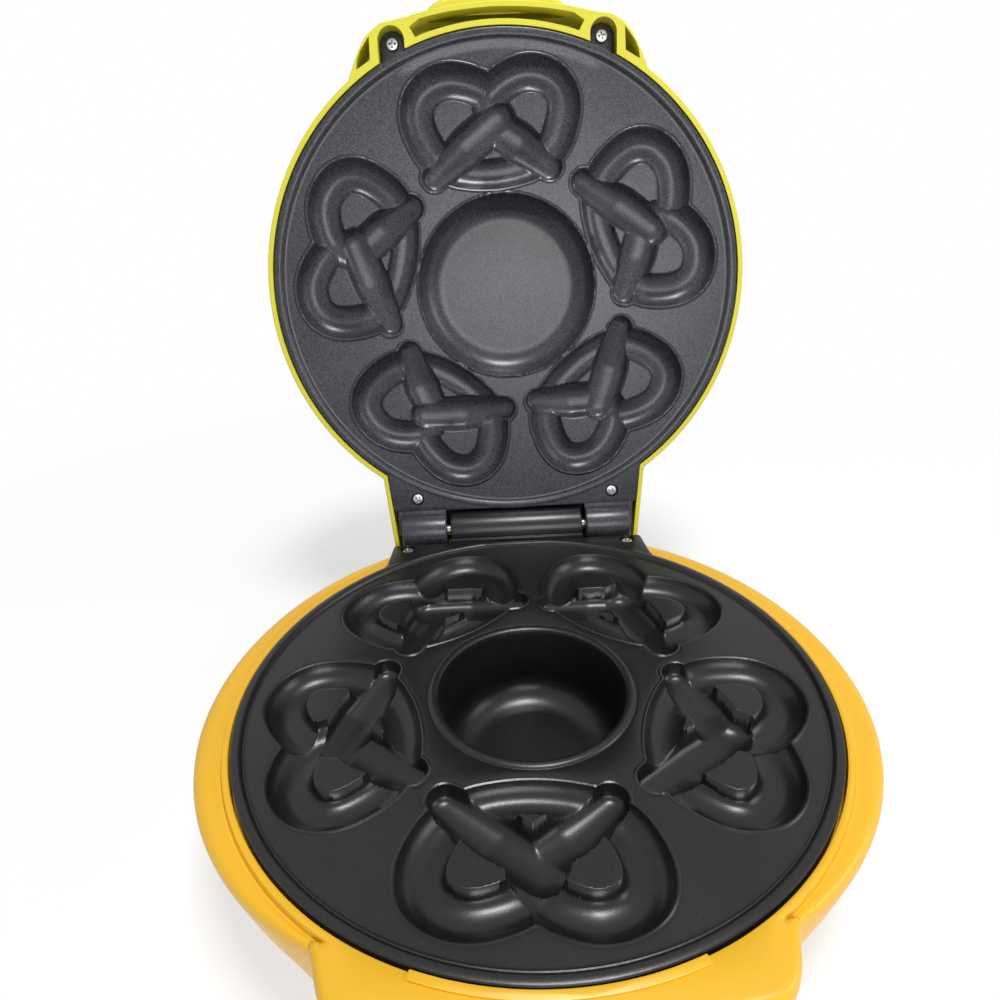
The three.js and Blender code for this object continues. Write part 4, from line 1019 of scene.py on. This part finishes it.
def side_block(shape, x0, x1, outline, edge=cast_edge):
    """A block with an outline in the YZ plane, run from x0 to x1."""
    fresh = slab(shape, outline, x0, x1, edge)
    turn = Matrix(((0, 0, 1, 0), (1, 0, 0, 0), (0, 1, 0, 0), (0, 0, 0, 1)))
    bmesh.ops.transform(shape, matrix=turn, verts=fresh)


def barrel(shape, x0, x1, z):
    """A knuckle: a cylinder along X with rounded rims and the bore of the pin."""
    bore = 3.2 * MM
    r = 1.0 * MM
    bend = [0.5 * math.pi * i / 4 for i in range(5)]
    profile = [(bore, x0)]
    profile += [(barrel_radius - r + r * math.sin(a), x0 + r - r * math.cos(a)) for a in bend]
    profile += [(barrel_radius - r + r * math.cos(a), x1 - r + r * math.sin(a)) for a in bend]
    profile.append((bore, x1))
    along_x = Matrix(((0, 0, 1, 0), (0, 1, 0, hinge_y), (-1, 0, 0, z), (0, 0, 0, 1)))
    lathe(shape, profile, 72, along_x)


def tongue(rear_y, upper):
    """The flat tongue behind the ring, with round seats for two screws."""
    half = math.asin(69.0 * MM / ring_reach)
    arc = [(ring_reach * math.sin(a), ring_reach * math.cos(a)) for a in np.linspace(-half, half, 61)]
    corner = 1.6 * MM
    outline = [*arc, (66.9 * MM, rear_y - corner), (66.5 * MM, rear_y - 0.45 * corner),
               (65.6 * MM, rear_y)]
    outline += [(-x, y) for x, y in reversed(outline[-3:])]
    piece = bmesh.new()
    slab(piece, outline, -5.3 * MM, -0.3 * MM)

    def bare(edge):
        far = [math.hypot(*v.co[:2]) for v in edge.verts]
        on_top = max(v.co.z for v in edge.verts) > -1 * MM
        return min(far) > outside_ring or (on_top and max(far) > outside_ring)

    outer = [e for e in piece.edges if e.calc_face_angle(0) > 0.6 and bare(e)]
    bmesh.ops.bevel(piece, geom=outer, offset=0.35 * MM, offset_type="OFFSET", affect="EDGES", segments=3,
                    profile=0.5, material=-1, clamp_overlap=True)
    seats = bmesh.new()
    seat = [(0, 1 * MM), (3.75 * MM, 1 * MM), (3.6 * MM, -0.6 * MM), (3.45 * MM, -3.3 * MM),
            (0, -3.3 * MM)]
    x, y = upper_rear_screw if upper else lower_screw
    for side in (-1, 1):
        lathe(seats, seat, 40, Matrix.Translation((side * x * MM, y * MM, 0)), closed=False)
    return carve(piece, seats)


print("hinge line at", tuple(round(v, 4) for v in placing["base"] @ Vector((0, hinge_y, hinge_z))))

# %% [markdown]
# ### The lower cooking plate
# The lower casting takes its tongue and the wide knuckle in the middle, which stands on a low step.

# %% Lower cooking plate
def lower_plate():
    shape = plate_casting(False)
    taken_in(shape, tongue(116.2 * MM, False))
    extra = bmesh.new()
    half = 36 * MM
    side_block(extra, -half, half, [(113 * MM, -5.2 * MM), (122 * MM, -5.2 * MM), (122 * MM, -0.35 * MM),
                                    (113 * MM, -0.35 * MM)])
    side_block(extra, -half, half, [(118.3 * MM, -8.9 * MM), (hinge_y, -8.9 * MM), (hinge_y, 1 * MM),
                                    (119.3 * MM, 1 * MM), (118.3 * MM, 0)])
    barrel(extra, -half, half, hinge_z)
    taken_in(shape, extra)
    return shape


hand_over(lower_plate(), "lower_plate_casting", "base", coat_lower,
          ["lower_cooking_plate"], crisp=30)

# %% [markdown]
# ### The upper cooking plate
# The upper casting is turned over. It takes two knuckles with a cheek beside each, two ears at the front
# and a web between the knuckles.

# %% Upper cooking plate
def upper_plate():
    shape = plate_casting(True)
    taken_in(shape, flipped(tongue(117.2 * MM, True)))
    extra = bmesh.new()
    for side in (-1, 1):
        knuckle = sorted((side * 38.1 * MM, side * 62.5 * MM))
        cheek = sorted((side * 62.3 * MM, side * 65 * MM))
        side_block(extra, *knuckle, [(114 * MM, 0.35 * MM), (hinge_y, 0.35 * MM), (hinge_y, 5.3 * MM),
                                     (114 * MM, 5.3 * MM)])
        side_block(extra, *knuckle, [(119.5 * MM, 1 * MM), (hinge_y, -0.2 * MM), (hinge_y, 9.9 * MM),
                                     (119.5 * MM, 7.5 * MM)])
        side_block(extra, *cheek, [(113.2 * MM, 0.35 * MM), (131 * MM, 0.35 * MM),
                                   (131 * MM, 5.3 * MM), (113.2 * MM, 5.3 * MM)], 0.5 * MM)
        barrel(extra, *knuckle, hinge_z)
        ear = bmesh.new()
        bend = np.linspace(0, math.pi, 17)
        x = side * upper_front_screw[0] * MM
        y = upper_front_screw[1] * MM
        r = 5.8 * MM
        outline = [(x - r * math.cos(a), y - r * math.sin(a)) for a in bend]
        outline += [(x + r, -100 * MM), (x - r, -100 * MM)]
        slab(ear, outline, 8.3 * MM, 11.3 * MM, 0.5 * MM)
        taken_in(extra, ear)
    side_block(extra, -38.4 * MM, 38.4 * MM, [(114.6 * MM, 4.6 * MM), (116.9 * MM, 4.6 * MM),
                                              (118.2 * MM, 11.8 * MM), (136 * MM, 11.8 * MM),
                                              (136 * MM, 13.2 * MM), (116.4 * MM, 13.2 * MM)])
    taken_in(shape, extra)
    return shape


hand_over(upper_plate(), "upper_plate_casting", "lid", lit_coat_upper,
          ["upper_cooking_plate"], crisp=30)

# %% [markdown]
# ## The base housing
# The base is one moulded bowl. Its brim is nearly level, with a rounded edge, and a low collar stands
# round the plate. The brim narrows toward the front, where a block with a flat deck sticks out under the
# grip, and two short walls run beside the tongue at the back. Every ring of the skin takes the widest of
# these three outlines at its own height.

# %% Outlines of the housings
def grown(points, by):
    """An open outline moved outward by a distance, each corner along the mean of its edges' normals."""
    line = np.array(points, float)
    step = np.diff(line, axis=0)
    normal = np.stack([step[:, 1], -step[:, 0]], 1) / np.hypot(step[:, 0], step[:, 1])[:, None]
    corner = np.vstack([normal[:1], normal[:-1] + normal[1:], normal[-1:]])
    corner /= np.hypot(corner[:, 0], corner[:, 1])[:, None]
    return line + corner * by


def both_sides(half_shares):
    """An outline from its right half, listed from the side to the middle, in shares of the plate."""
    right = [(x * plate_radius, y * plate_radius) for x, y in half_shares]
    return [(-x, y) for x, y in right] + [(x, y) for x, y in reversed(right) if x > 0]


base_block_shares = [(0.615, -0.80), (0.607, -0.865), (0.590, -0.905), (0.572, -0.962), (0.552, -1.003),
                     (0.528, -1.032), (0.495, -1.053), (0.42, -1.066), (0.30, -1.079), (0.15, -1.089),
                     (0, -1.092)]
lid_block_shares = [(0.615, -0.80), (0.602, -0.845), (0.578, -0.895), (0.560, -0.932), (0.534, -0.975),
                    (0.505, -1.002), (0.462, -1.031), (0.40, -1.038), (0.30, -1.062), (0.20, -1.079),
                    (0.10, -1.088), (0, -1.092)]
base_block = both_sides(base_block_shares)
lid_block = both_sides(lid_block_shares)


def smooth_corners(points):
    """An open outline with its corners softened, by cutting them twice."""
    line = np.array(points, float)
    for _ in range(2):
        cut = [line[0]]
        for a, b in zip(line, line[1:]):
            cut.append(a + (b - a) * 0.2)
            cut.append(a + (b - a) * 0.8)
        cut.append(line[-1])
        line = np.array(cut)
    return line


def front_reach(points, inset, angles):
    """How far a front block lies from the middle, less an inset, in each direction."""
    line = grown(smooth_corners(points), -inset)
    return outline_radius(line, angles)


def rear_reach(corners, inset, angles):
    """How far a rear wall or tail with these two right corners lies from the middle, less an inset."""
    (x0, y0), (x1, y1) = corners
    line = [(x0 - inset, y0), (x1 - inset, y1 - inset), (inset - x1, y1 - inset), (inset - x0, y0)]
    return outline_radius(line, angles)


def eased(value, low, high):
    """From nothing to one as the value goes from low to high, gently at both ends."""
    share = np.clip((value - low) / (high - low), 0, 1)
    return share * share * (3 - 2 * share)


print("points of the block outlines:", len(base_block), len(lid_block))

# %% [markdown]
# ### The skin of the base
# Each row is one ring of the bowl, from the bottom up its outside, over the brim and down its inside. A
# large inset takes the block or the rear wall out of a ring.

# %% Skin of the base
collar_radius = 121.4 * MM
rear_wall_y = 116.5 * MM
inner_rows_from = 23
block_soft = 0.5 * MM
wall_gap = 0.7 * MM


def narrowed(radius, angles):
    """The brim's reach beyond the collar, smaller toward the front."""
    down = np.arctan2(-np.sin(angles), np.abs(np.cos(angles)))
    share = np.clip(down / math.radians(53.5), 0, 1)
    keep = 1 - 0.7 * share ** 2
    beyond = np.maximum(radius - collar_radius, 0)
    return np.minimum(radius, collar_radius) + beyond * keep


base_skin = [
    # body radius, its height, block inset, its height, rear wall inset
    (101.6, -57.0, 40, -57.0, 40), (102.9, -57.0, 40, -57.0, 40), (104.2, -56.3, 38, -56.3, 38),
    (108.0, -52.3, 30, -52.3, 30), (114.9, -44.5, 17, -44.5, 24), (117.6, -40.0, 13, -40.0, 21),
    (121.0, -32.0, 9.0, -32.0, 15), (125.2, -25.0, 5.8, -25.0, 11), (128.4, -20.0, 3.6, -20.0, 8),
    (131.2, -13.5, 0.7, -13.5, 3), (132.4, -10.3, 0.1, -11.5, 0.5), (132.8, -7.6, 0, -7.6, 0),
    (132.3, -5.9, 0, -5.2, 60), (131.0, -4.6, 0.1, -4.0, 60), (129.2, -4.05, 0.35, -3.1, 60),
    (127.0, -3.95, 0.8, -2.35, 60), (124.6, -4.05, 1.5, -1.8, 60), (122.9, -4.25, 2.3, -1.55, 60),
    (122.0, -4.2, 3.2, -1.5, 60), (121.6, -3.6, 4.2, -1.5, 60), (121.4, -2.3, 5.2, -1.5, 60),
    (121.1, -1.7, 6.2, -1.5, 60), (120.6, -1.5, 7.4, -1.5, 60), (119.4, -1.5, 60, -1.5, 60),
    (118.9, -1.75, 60, -1.75, 60), (118.8, -2.2, 60, -2.2, 60), (118.8, -9.6, 60, -9.6, 60),
    (114.2, -9.6, 60, -9.6, 60), (114.2, -12.0, 60, -12.0, 60), (121.0, -15.0, 60, -15.0, 60),
    (123.6, -22.0, 60, -22.0, 60), (118.4, -32.5, 60, -32.5, 60), (112.4, -44.5, 60, -44.5, 60),
    (101.6, -55.4, 60, -55.4, 60)]
rear_corners = [(73.6 * MM, 88 * MM), (70.2 * MM, rear_wall_y)]


def base_ring(row, inner):
    """The radius and the height of one ring of the base, both by the angle."""
    body, body_z, inset, block_z, rear_inset = (v * MM for v in row)

    def swelling(angles):
        return np.maximum(front_reach(base_block, inset, angles),
                          rear_reach(rear_corners, rear_inset, angles))

    def radius(angles):
        chord = np.where(np.sin(angles) > 0.5, rear_wall_y / np.maximum(np.sin(angles), 0.5), 1)
        chord = chord - (wall_gap if inner else 0)
        return np.minimum(soft_max(narrowed(body, angles), swelling(angles), block_soft), chord)

    def height(angles):
        share = eased(swelling(angles) - narrowed(body, angles), -0.6 * MM, 1.2 * MM)
        return body_z + (block_z - body_z) * share

    return radius, height


def base_shell():
    block = smooth_corners(base_block)
    corners = [math.atan2(y, x) % TURN for x, y in block if abs(x) > 0.44 * plate_radius]
    corners += [math.atan2(y, s * x) for x, y in rear_corners for s in (-1, 1)]
    corners += [math.atan2(rear_wall_y, s * 63.7 * MM) for s in (-1, 1)]
    angles = even_angles(330, corners, 0.012, 2)
    rings = [base_ring(row, number >= inner_rows_from) for number, row in enumerate(base_skin)]
    shape = turned_skin(rings, angles)
    seat = prism([(-70.1, 94), (70.1, 94), (67.6, 118), (-67.6, 118)], -5.9, 2)
    knuckle = prism([(-65.6, 108), (65.6, 108), (65.6, 119), (-65.6, 119)], -9.6, 1)
    return carve(shape, seat, knuckle)


def gland_boss():
    """The block behind the rear wall that holds the cord gland."""
    shape = bmesh.new()
    slab(shape, [(25 * MM, 92.5 * MM), (51 * MM, 92.5 * MM), (51 * MM, rear_wall_y),
                 (25 * MM, rear_wall_y)], -57 * MM, -32 * MM, 1.2 * MM)
    bore = bmesh.new()
    turn = Matrix.Translation((38 * MM, 90 * MM, -43 * MM)) @ Matrix.Rotation(-math.pi / 2, 4, "X")
    lathe(bore, [(0, 0), (6.2 * MM, 0), (6.2 * MM, 30 * MM), (0, 30 * MM)], 40, turn, closed=False)
    return carve(shape, bore)


def deck_lip():
    """The low raised strip on the deck, between two small notches."""
    shape = bmesh.new()
    bend = np.linspace(-math.radians(20.4), math.radians(20.4), 41)
    inner = [(118.45 * MM * math.sin(a), -118.45 * MM * math.cos(a)) for a in bend]
    outer = [(121.5 * MM * math.sin(a), -121.5 * MM * math.cos(a)) for a in reversed(bend)]
    slab(shape, [*inner, *outer], -3 * MM, -0.75 * MM, 0.35 * MM, 2)
    return shape


base_shape = taken_in(base_shell(), gland_boss(), deck_lip())
hand_over(base_shape, "base_shell", "base", base_plastic, ["base_housing"], crisp=40)

# %% [markdown]
# ## The lid housing
# The lid is a shallow dome over the upper plate. A tail covers the hinge, and a block in front holds the
# plate's ears in two arches. The block is hollow: a long channel behind the grip and a small three-sided
# pocket at each side, all open toward the plate.

# %% Skin of the lid
lid_skin = [
    # body radius, its height, block inset, its height, tail inset, tail reach
    (118.7, 0.6, 60, 0.6, 60, 142.4), (120.7, 0.6, 0.5, 0.6, 0.5, 141.9), (121.2, 1.1, 0, 1.1, 0, 142.4),
    (121.2, 5.0, 0, 5.0, 0, 142.4), (121.2, 9.0, 0, 9.0, 0, 142.4), (120.6, 12.0, 0, 12.0, 0, 142.4),
    (119.8, 15.5, 0, 15.5, 0, 141.9), (119.2, 18.0, 0.1, 18.0, 0, 141.1),
    (118.6, 20.5, 0.6, 20.5, 0.2, 139.7), (118.1, 22.5, 1.5, 22.5, 0.6, 138.0),
    (117.7, 24.2, 3.2, 24.2, 1.4, 136.0), (117.4, 25.4, 5.4, 25.2, 2.6, 133.4),
    (117.0, 26.4, 8.0, 25.9, 4.4, 130.0), (116.9, 27.4, 13, 26.4, 7.5, 125.0),
    (116.5, 30.3, 60, 30.3, 60, 110), (115.2, 33.2, 60, 33.2, 60, 110), (112.6, 36.5, 60, 36.5, 60, 110),
    (108.6, 39.6, 60, 39.6, 60, 110), (102.6, 42.5, 60, 42.5, 60, 110), (94.5, 44.9, 60, 44.9, 60, 110),
    (84.0, 46.0, 60, 46.0, 60, 110), (60.0, 46.3, 60, 46.3, 60, 110), (30.0, 46.4, 60, 46.4, 60, 110),
    (0.0, 46.4, 60, 46.4, 60, 110)]
lid_inner = [(0.0, 43.6), (84.0, 43.4), (102.0, 39.6), (112.0, 32.0), (115.5, 24.0), (118.7, 22.0)]


def lid_ring(row):
    """The radius and the height of one ring of the lid. The small upper rings have no block or tail."""
    body, body_z, inset, block_z, tail_inset, tail_y = (v * MM for v in row)

    def reach(angles):
        if inset > 50 * MM and tail_inset > 50 * MM and body < 100 * MM:
            return np.zeros(len(angles))
        front = front_reach(lid_block, inset, angles)
        side = [(74.4 * MM, 62 * MM), (67.6 * MM, tail_y)]
        return np.maximum(front, rear_reach(side, tail_inset, angles))

    def radius(angles):
        if body < 1 * MM:
            return np.zeros(len(angles))
        return soft_max(np.full(len(angles), body), reach(angles), 0.4 * MM)

    def height(angles):
        share = eased(reach(angles) - body, -0.5 * MM, 1.0 * MM)
        return body_z + (block_z - body_z) * share

    return radius, height


def front_cuts():
    """The hollow forms of the lid's front: the long channel, two arches and two pockets."""
    cuts = []
    bend = np.linspace(-0.325, 0.325, 33)
    near = [(121.2 * math.sin(a), -121.2 * math.cos(a)) for a in bend]
    outer = grown(smooth_corners(lid_block), -2.5 * MM) / MM
    far = [(x, y) for x, y in reversed(outer) if abs(x) < 37]
    cuts.append(prism([*near, (41.2, -119.2), *far, (-41.2, -119.2)], -1, 20))
    for side in (-1, 1):
        x = side * upper_front_screw[0]
        y = upper_front_screw[1]
        r = 6.3
        arc = [(x - side * r * math.cos(a), y - r * math.sin(a)) for a in np.linspace(0, math.pi, 21)]
        cuts.append(prism([*arc, (x + side * r, -98), (x - side * r, -98)], -1, 12.6))
        pocket = [(60.4, -116.0), (60.7, -105.9), (67.6, -102.0), (66.9, -106.2), (64.9, -110.4)]
        cuts.append(prism([(side * px, py) for px, py in pocket], -1, 20))
    return cuts


def lid_shell():
    block = smooth_corners(lid_block)
    corners = [math.atan2(y, x) % TURN for x, y in block if abs(x) > 0.38 * plate_radius]
    corners += [math.atan2(142.4, s * 67.6) for s in (-1, 1)]
    corners += [math.atan2(92, s * 72.5) for s in (-1, 1)]
    angles = even_angles(300, corners, 0.02, 3)
    rings = [lid_ring(row) for row in lid_skin]
    rings += [(r * MM, z * MM) for r, z in lid_inner]
    shape = turned_skin(rings, angles)
    tail = prism([(-69.2, 96), (69.2, 96), (65.9, 133.2), (-65.9, 133.2)], -1, 24)
    tail_rear = prism([(-66.4, 128), (66.4, 128), (65.4, 139.3), (-65.4, 139.3)], -1, 17)
    return carve(shape, tail, tail_rear, *front_cuts())


def grip():
    """The lip under which the fingers lift the lid."""
    shape = bmesh.new()
    half_shares = [(0.305, -1.05), (0.292, -1.078), (0.26, -1.112), (0.21, -1.134), (0.11, -1.150),
                   (0, -1.155)]
    outer = smooth_corners(both_sides(half_shares))
    inner = [(share * plate_radius, -1.045 * plate_radius) for share in (0.28, -0.28)]
    slab(shape, [*outer, *inner], 9 * MM, 19 * MM, 2.2 * MM, 4)
    return shape


def stop_lugs():
    """The two lugs at the rear that stop the lid when it is open."""
    shape = bmesh.new()
    for side in (-1, 1):
        ends = sorted((side * 41 * MM, side * 60 * MM))
        side_block(shape, *ends, [(140 * MM, -8.4 * MM), (142.6 * MM, -8.4 * MM),
                                  (142.6 * MM, 13.5 * MM), (140 * MM, 13.5 * MM)], 0.6 * MM)
    return shape


lid_shape = taken_in(lid_shell(), grip(), stop_lugs())
hand_over(lid_shape, "lid_shell", "lid", lid_plastic, ["lid_housing"], crisp=40)

# %% [markdown]
# ## Screws
# The plate screws have flat round heads with a cross recess, plated bright. The cross is cut into the
# turned head with two slim wedges, so its arms get narrower toward their floor, as a driver's tip does.

# %% Screws
head_radius = 3.1 * MM
head_height = 1.9 * MM
head_round = 0.9 * MM
cover_screw_ring = 97.6


def cross_head():
    """A pan head, face up at the origin, with its cross recess and a short shank."""
    shape = bmesh.new()
    bend = [0.5 * math.pi * i / 6 for i in range(7)]
    dome = [(head_radius - head_round + head_round * math.cos(a), -head_round + head_round * math.sin(a))
            for a in bend]
    profile = [(0, -9 * MM), (1.5 * MM, -8.4 * MM), (1.5 * MM, -head_height), (head_radius, -head_height),
               *dome, (0.55 * head_radius, 0.06 * MM), (0.0, 0.12 * MM)]
    lathe(shape, profile, 40, closed=False)
    half = 0.56 * head_radius
    width = 0.13 * head_radius
    cutters = []
    for turn in (0.0, 0.5 * math.pi):
        arm = bmesh.new()
        bmesh.ops.create_cube(arm, size=1)
        for v in arm.verts:
            low = v.co.z < 0
            v.co.x = math.copysign(half * (0.45 if low else 1.15), v.co.x)
            v.co.y = math.copysign(width * (0.55 if low else 1.1), v.co.y)
            v.co.z = -1.25 * MM if low else 0.3 * MM
        bmesh.ops.rotate(arm, matrix=Matrix.Rotation(turn, 3, "Z"), verts=arm.verts)
        cutters.append(arm)
    return carve(shape, *cutters)


def put_screw(name, body, place, over, turn):
    """Puts a screw at a place in mm, face up or turned over, with its cross at an angle."""
    shape = cross_head()
    matrix = Matrix.Translation([v * MM for v in place]) @ Matrix.Rotation(math.radians(turn), 4, "Z")
    if over:
        matrix = matrix @ Matrix.Rotation(math.pi, 4, "X")
    bmesh.ops.transform(shape, matrix=matrix, verts=shape.verts)
    hand_over(shape, name + "_head", body, bright_steel, [name], crisp=30)


# start of the two names, body, place of the right one, its height, turned over or not, angles of the
# cross left and right
plate_screws = [("lower_plate_screw", "base", lower_screw, -1.1, False, (24, 61)),
                ("upper_plate_screw_rear", "lid", upper_rear_screw, 1.1, True, (38, 12)),
                ("upper_plate_screw_front", "lid", upper_front_screw, 6.1, True, (2, -14))]
for start, body, (x, y), z, over, turns in plate_screws:
    for end, side, turn in (("_left", -1, turns[0]), ("_right", 1, turns[1])):
        put_screw(start + end, body, (side * x, y, z), over, turn)
for number in range(4):
    turn = 0.5 * math.pi * number
    put_screw("bottom_cover_screw_" + str(number + 1), "base",
              (cover_screw_ring * math.cos(turn), cover_screw_ring * math.sin(turn), -59.2), True,
              17 * number)

# %% [markdown]
# ## The hinge pin
# The pin is a turned rod with small chamfers.

# %% Hinge pin
def hinge_pin():
    shape = bmesh.new()
    half = 62.2 * MM
    r = 3 * MM
    profile = [(0, -half), (r - 0.5 * MM, -half), (r, -half + 0.5 * MM), (r, half - 0.5 * MM),
               (r - 0.5 * MM, half), (0, half)]
    along_x = Matrix(((0, 0, 1, 0), (0, 1, 0, hinge_y), (-1, 0, 0, hinge_z), (0, 0, 0, 1)))
    lathe(shape, profile, 40, along_x, closed=False)
    return shape


# the pin takes the darker steel, painted shade for the knuckle gaps
hand_over(hinge_pin(), "pin_rod", "base", pin_steel, ["hinge_pin"])

# %% [markdown]
# ## Rubber feet
# Each foot is a rubber button with a rounded edge and a shallow hollow in its middle.

# %% Rubber feet
foot_ring = 95 * MM
cover_low = -57 * MM


def rubber_foot():
    shape = bmesh.new()
    bend = [0.5 * math.pi * i / 5 for i in range(6)]
    edge = [(6.9 * MM + 1.1 * MM * math.sin(a), -3.9 * MM - 1.1 * MM * math.cos(a)) for a in bend]
    profile = [(0, -4.4 * MM), (3.2 * MM, -4.4 * MM), (3.6 * MM, -5 * MM), *edge, (8 * MM, 0), (0, 0)]
    lathe(shape, profile, 48, closed=False)
    return shape


for end, degrees in (("front", -49.3), ("rear", 61.0)):
    for side, way in (("left", -1), ("right", 1)):
        shape = rubber_foot()
        turn = math.radians(degrees)
        place = Vector((way * foot_ring * math.cos(turn), foot_ring * math.sin(turn), cover_low))
        bmesh.ops.translate(shape, verts=shape.verts, vec=place)
        name = "foot_" + end + "_" + side
        hand_over(shape, name + "_button", "base", foot_rubber, [name])

# %% [markdown]
# ## The bottom cover
# The cover is a flat disc with a small chamfer, a row of seven slots and four screw holes.

# %% Bottom cover
def bottom_cover():
    shape = bmesh.new()
    edge = 0.8 * MM
    radius = 101.3 * MM
    cover_high = -54.6 * MM
    lathe(shape, [(0, cover_low), (radius - edge, cover_low), (radius, cover_low + edge),
                  (radius, cover_high), (0, cover_high)], 160, closed=False)
    cut_low = -60 * MM
    cut_high = -50 * MM
    half = 1.2 * MM
    reach = 16 * MM
    cuts = []
    for i in range(7):
        slot = bmesh.new()
        x = (i - 3) * 7.2 * MM
        bend = np.linspace(0, math.pi, 9)
        ends = [(x + half * math.cos(a), reach - half + half * math.sin(a)) for a in bend]
        ends += [(x - half * math.cos(a), -reach + half - half * math.sin(a)) for a in bend]
        slab(slot, ends, cut_low, cut_high)
        cuts.append(slot)
    for number in range(4):
        hole = bmesh.new()
        turn = 0.5 * math.pi * number
        place = Vector((math.cos(turn), math.sin(turn), 0)) * cover_screw_ring * MM
        lathe(hole, [(0, cut_low), (1.8 * MM, cut_low), (1.8 * MM, cut_high), (0, cut_high)], 24,
              Matrix.Translation(place), closed=False)
        cuts.append(hole)
    return carve(shape, *cuts)


hand_over(bottom_cover(), "cover_disc", "base", black_plastic, ["base_bottom_cover"])

# %% [markdown]
# ## Cord gland and lamps
# The gland is a flanged bush in the rear wall. Each lamp is a clear lens with a low dome and a flange.

# %% Gland and lamps
def cord_gland():
    """A bush with an outer and an inner flange, and softly rounded rims."""
    shape = bmesh.new()
    outer = rear_wall_y + 0.3 * MM
    inner = rear_wall_y - 2.7 * MM
    profile = [(3.5, outer - 16 * MM), (6.0, outer - 16 * MM), (6.0, inner - 2 * MM), (8.6, inner - 2 * MM),
               (8.6, inner), (6.0, inner), (6.0, outer), (8.2, outer), (8.6, outer + 0.4 * MM),
               (8.6, outer + 1.2 * MM), (7.8, outer + 2 * MM), (4.3, outer + 2 * MM),
               (3.5, outer + 1.2 * MM)]
    along_y = Matrix(((1, 0, 0, 38 * MM), (0, 0, 1, 0), (0, -1, 0, -43 * MM), (0, 0, 0, 1)))
    lathe(shape, [(r * MM, z) for r, z in profile], 56, along_y)
    return shape


hand_over(cord_gland(), "gland_bush", "base", black_plastic, ["cord_gland"])


def lamp_lens(x):
    shape = bmesh.new()
    bend = [0.5 * math.pi * i / 7 for i in range(8)]
    dome = [(3.6 * MM * math.cos(a), 0.7 * MM + 0.7 * MM * math.sin(a)) for a in bend]
    profile = [(0, -13 * MM), (3.6 * MM, -13 * MM), (3.6 * MM, 0.3 * MM), (5 * MM, 0.3 * MM),
               (5 * MM, 0.55 * MM), (4.8 * MM, 0.7 * MM), *dome]
    lathe(shape, profile, 48, Matrix.Translation((x, -62 * MM, 46 * MM)), closed=False)
    return shape


hand_over(lamp_lens(-9 * MM), "lens_left", "lid", red_lens, ["indicator_lamp_left"])
hand_over(lamp_lens(9 * MM), "lens_right", "lid", green_lens, ["indicator_lamp_right"])

# %% [markdown]
# ## Inner parts
# The heating tubes, clips, shields, thermostat, fuse, terminal block and wires sit inside the housings.
# They keep their solids from the part and get the finish of their own material.

# %% Inner parts
inner_finish = {
    "heating_element": element_steel, "element_clip": element_steel, "heat_shield": shield_sheet,
    "thermostat": element_steel, "thermal_fuse": white_plastic, "terminal_block": white_plastic,
    "_wire_": wire_sleeve}
for word, finish in inner_finish.items():
    for piece in bpy.data.objects:
        if piece.type == "MESH" and word in piece.name:
            piece.data.materials.clear()
            piece.data.materials.append(finish)
            print(piece.name, "gets", finish.name)
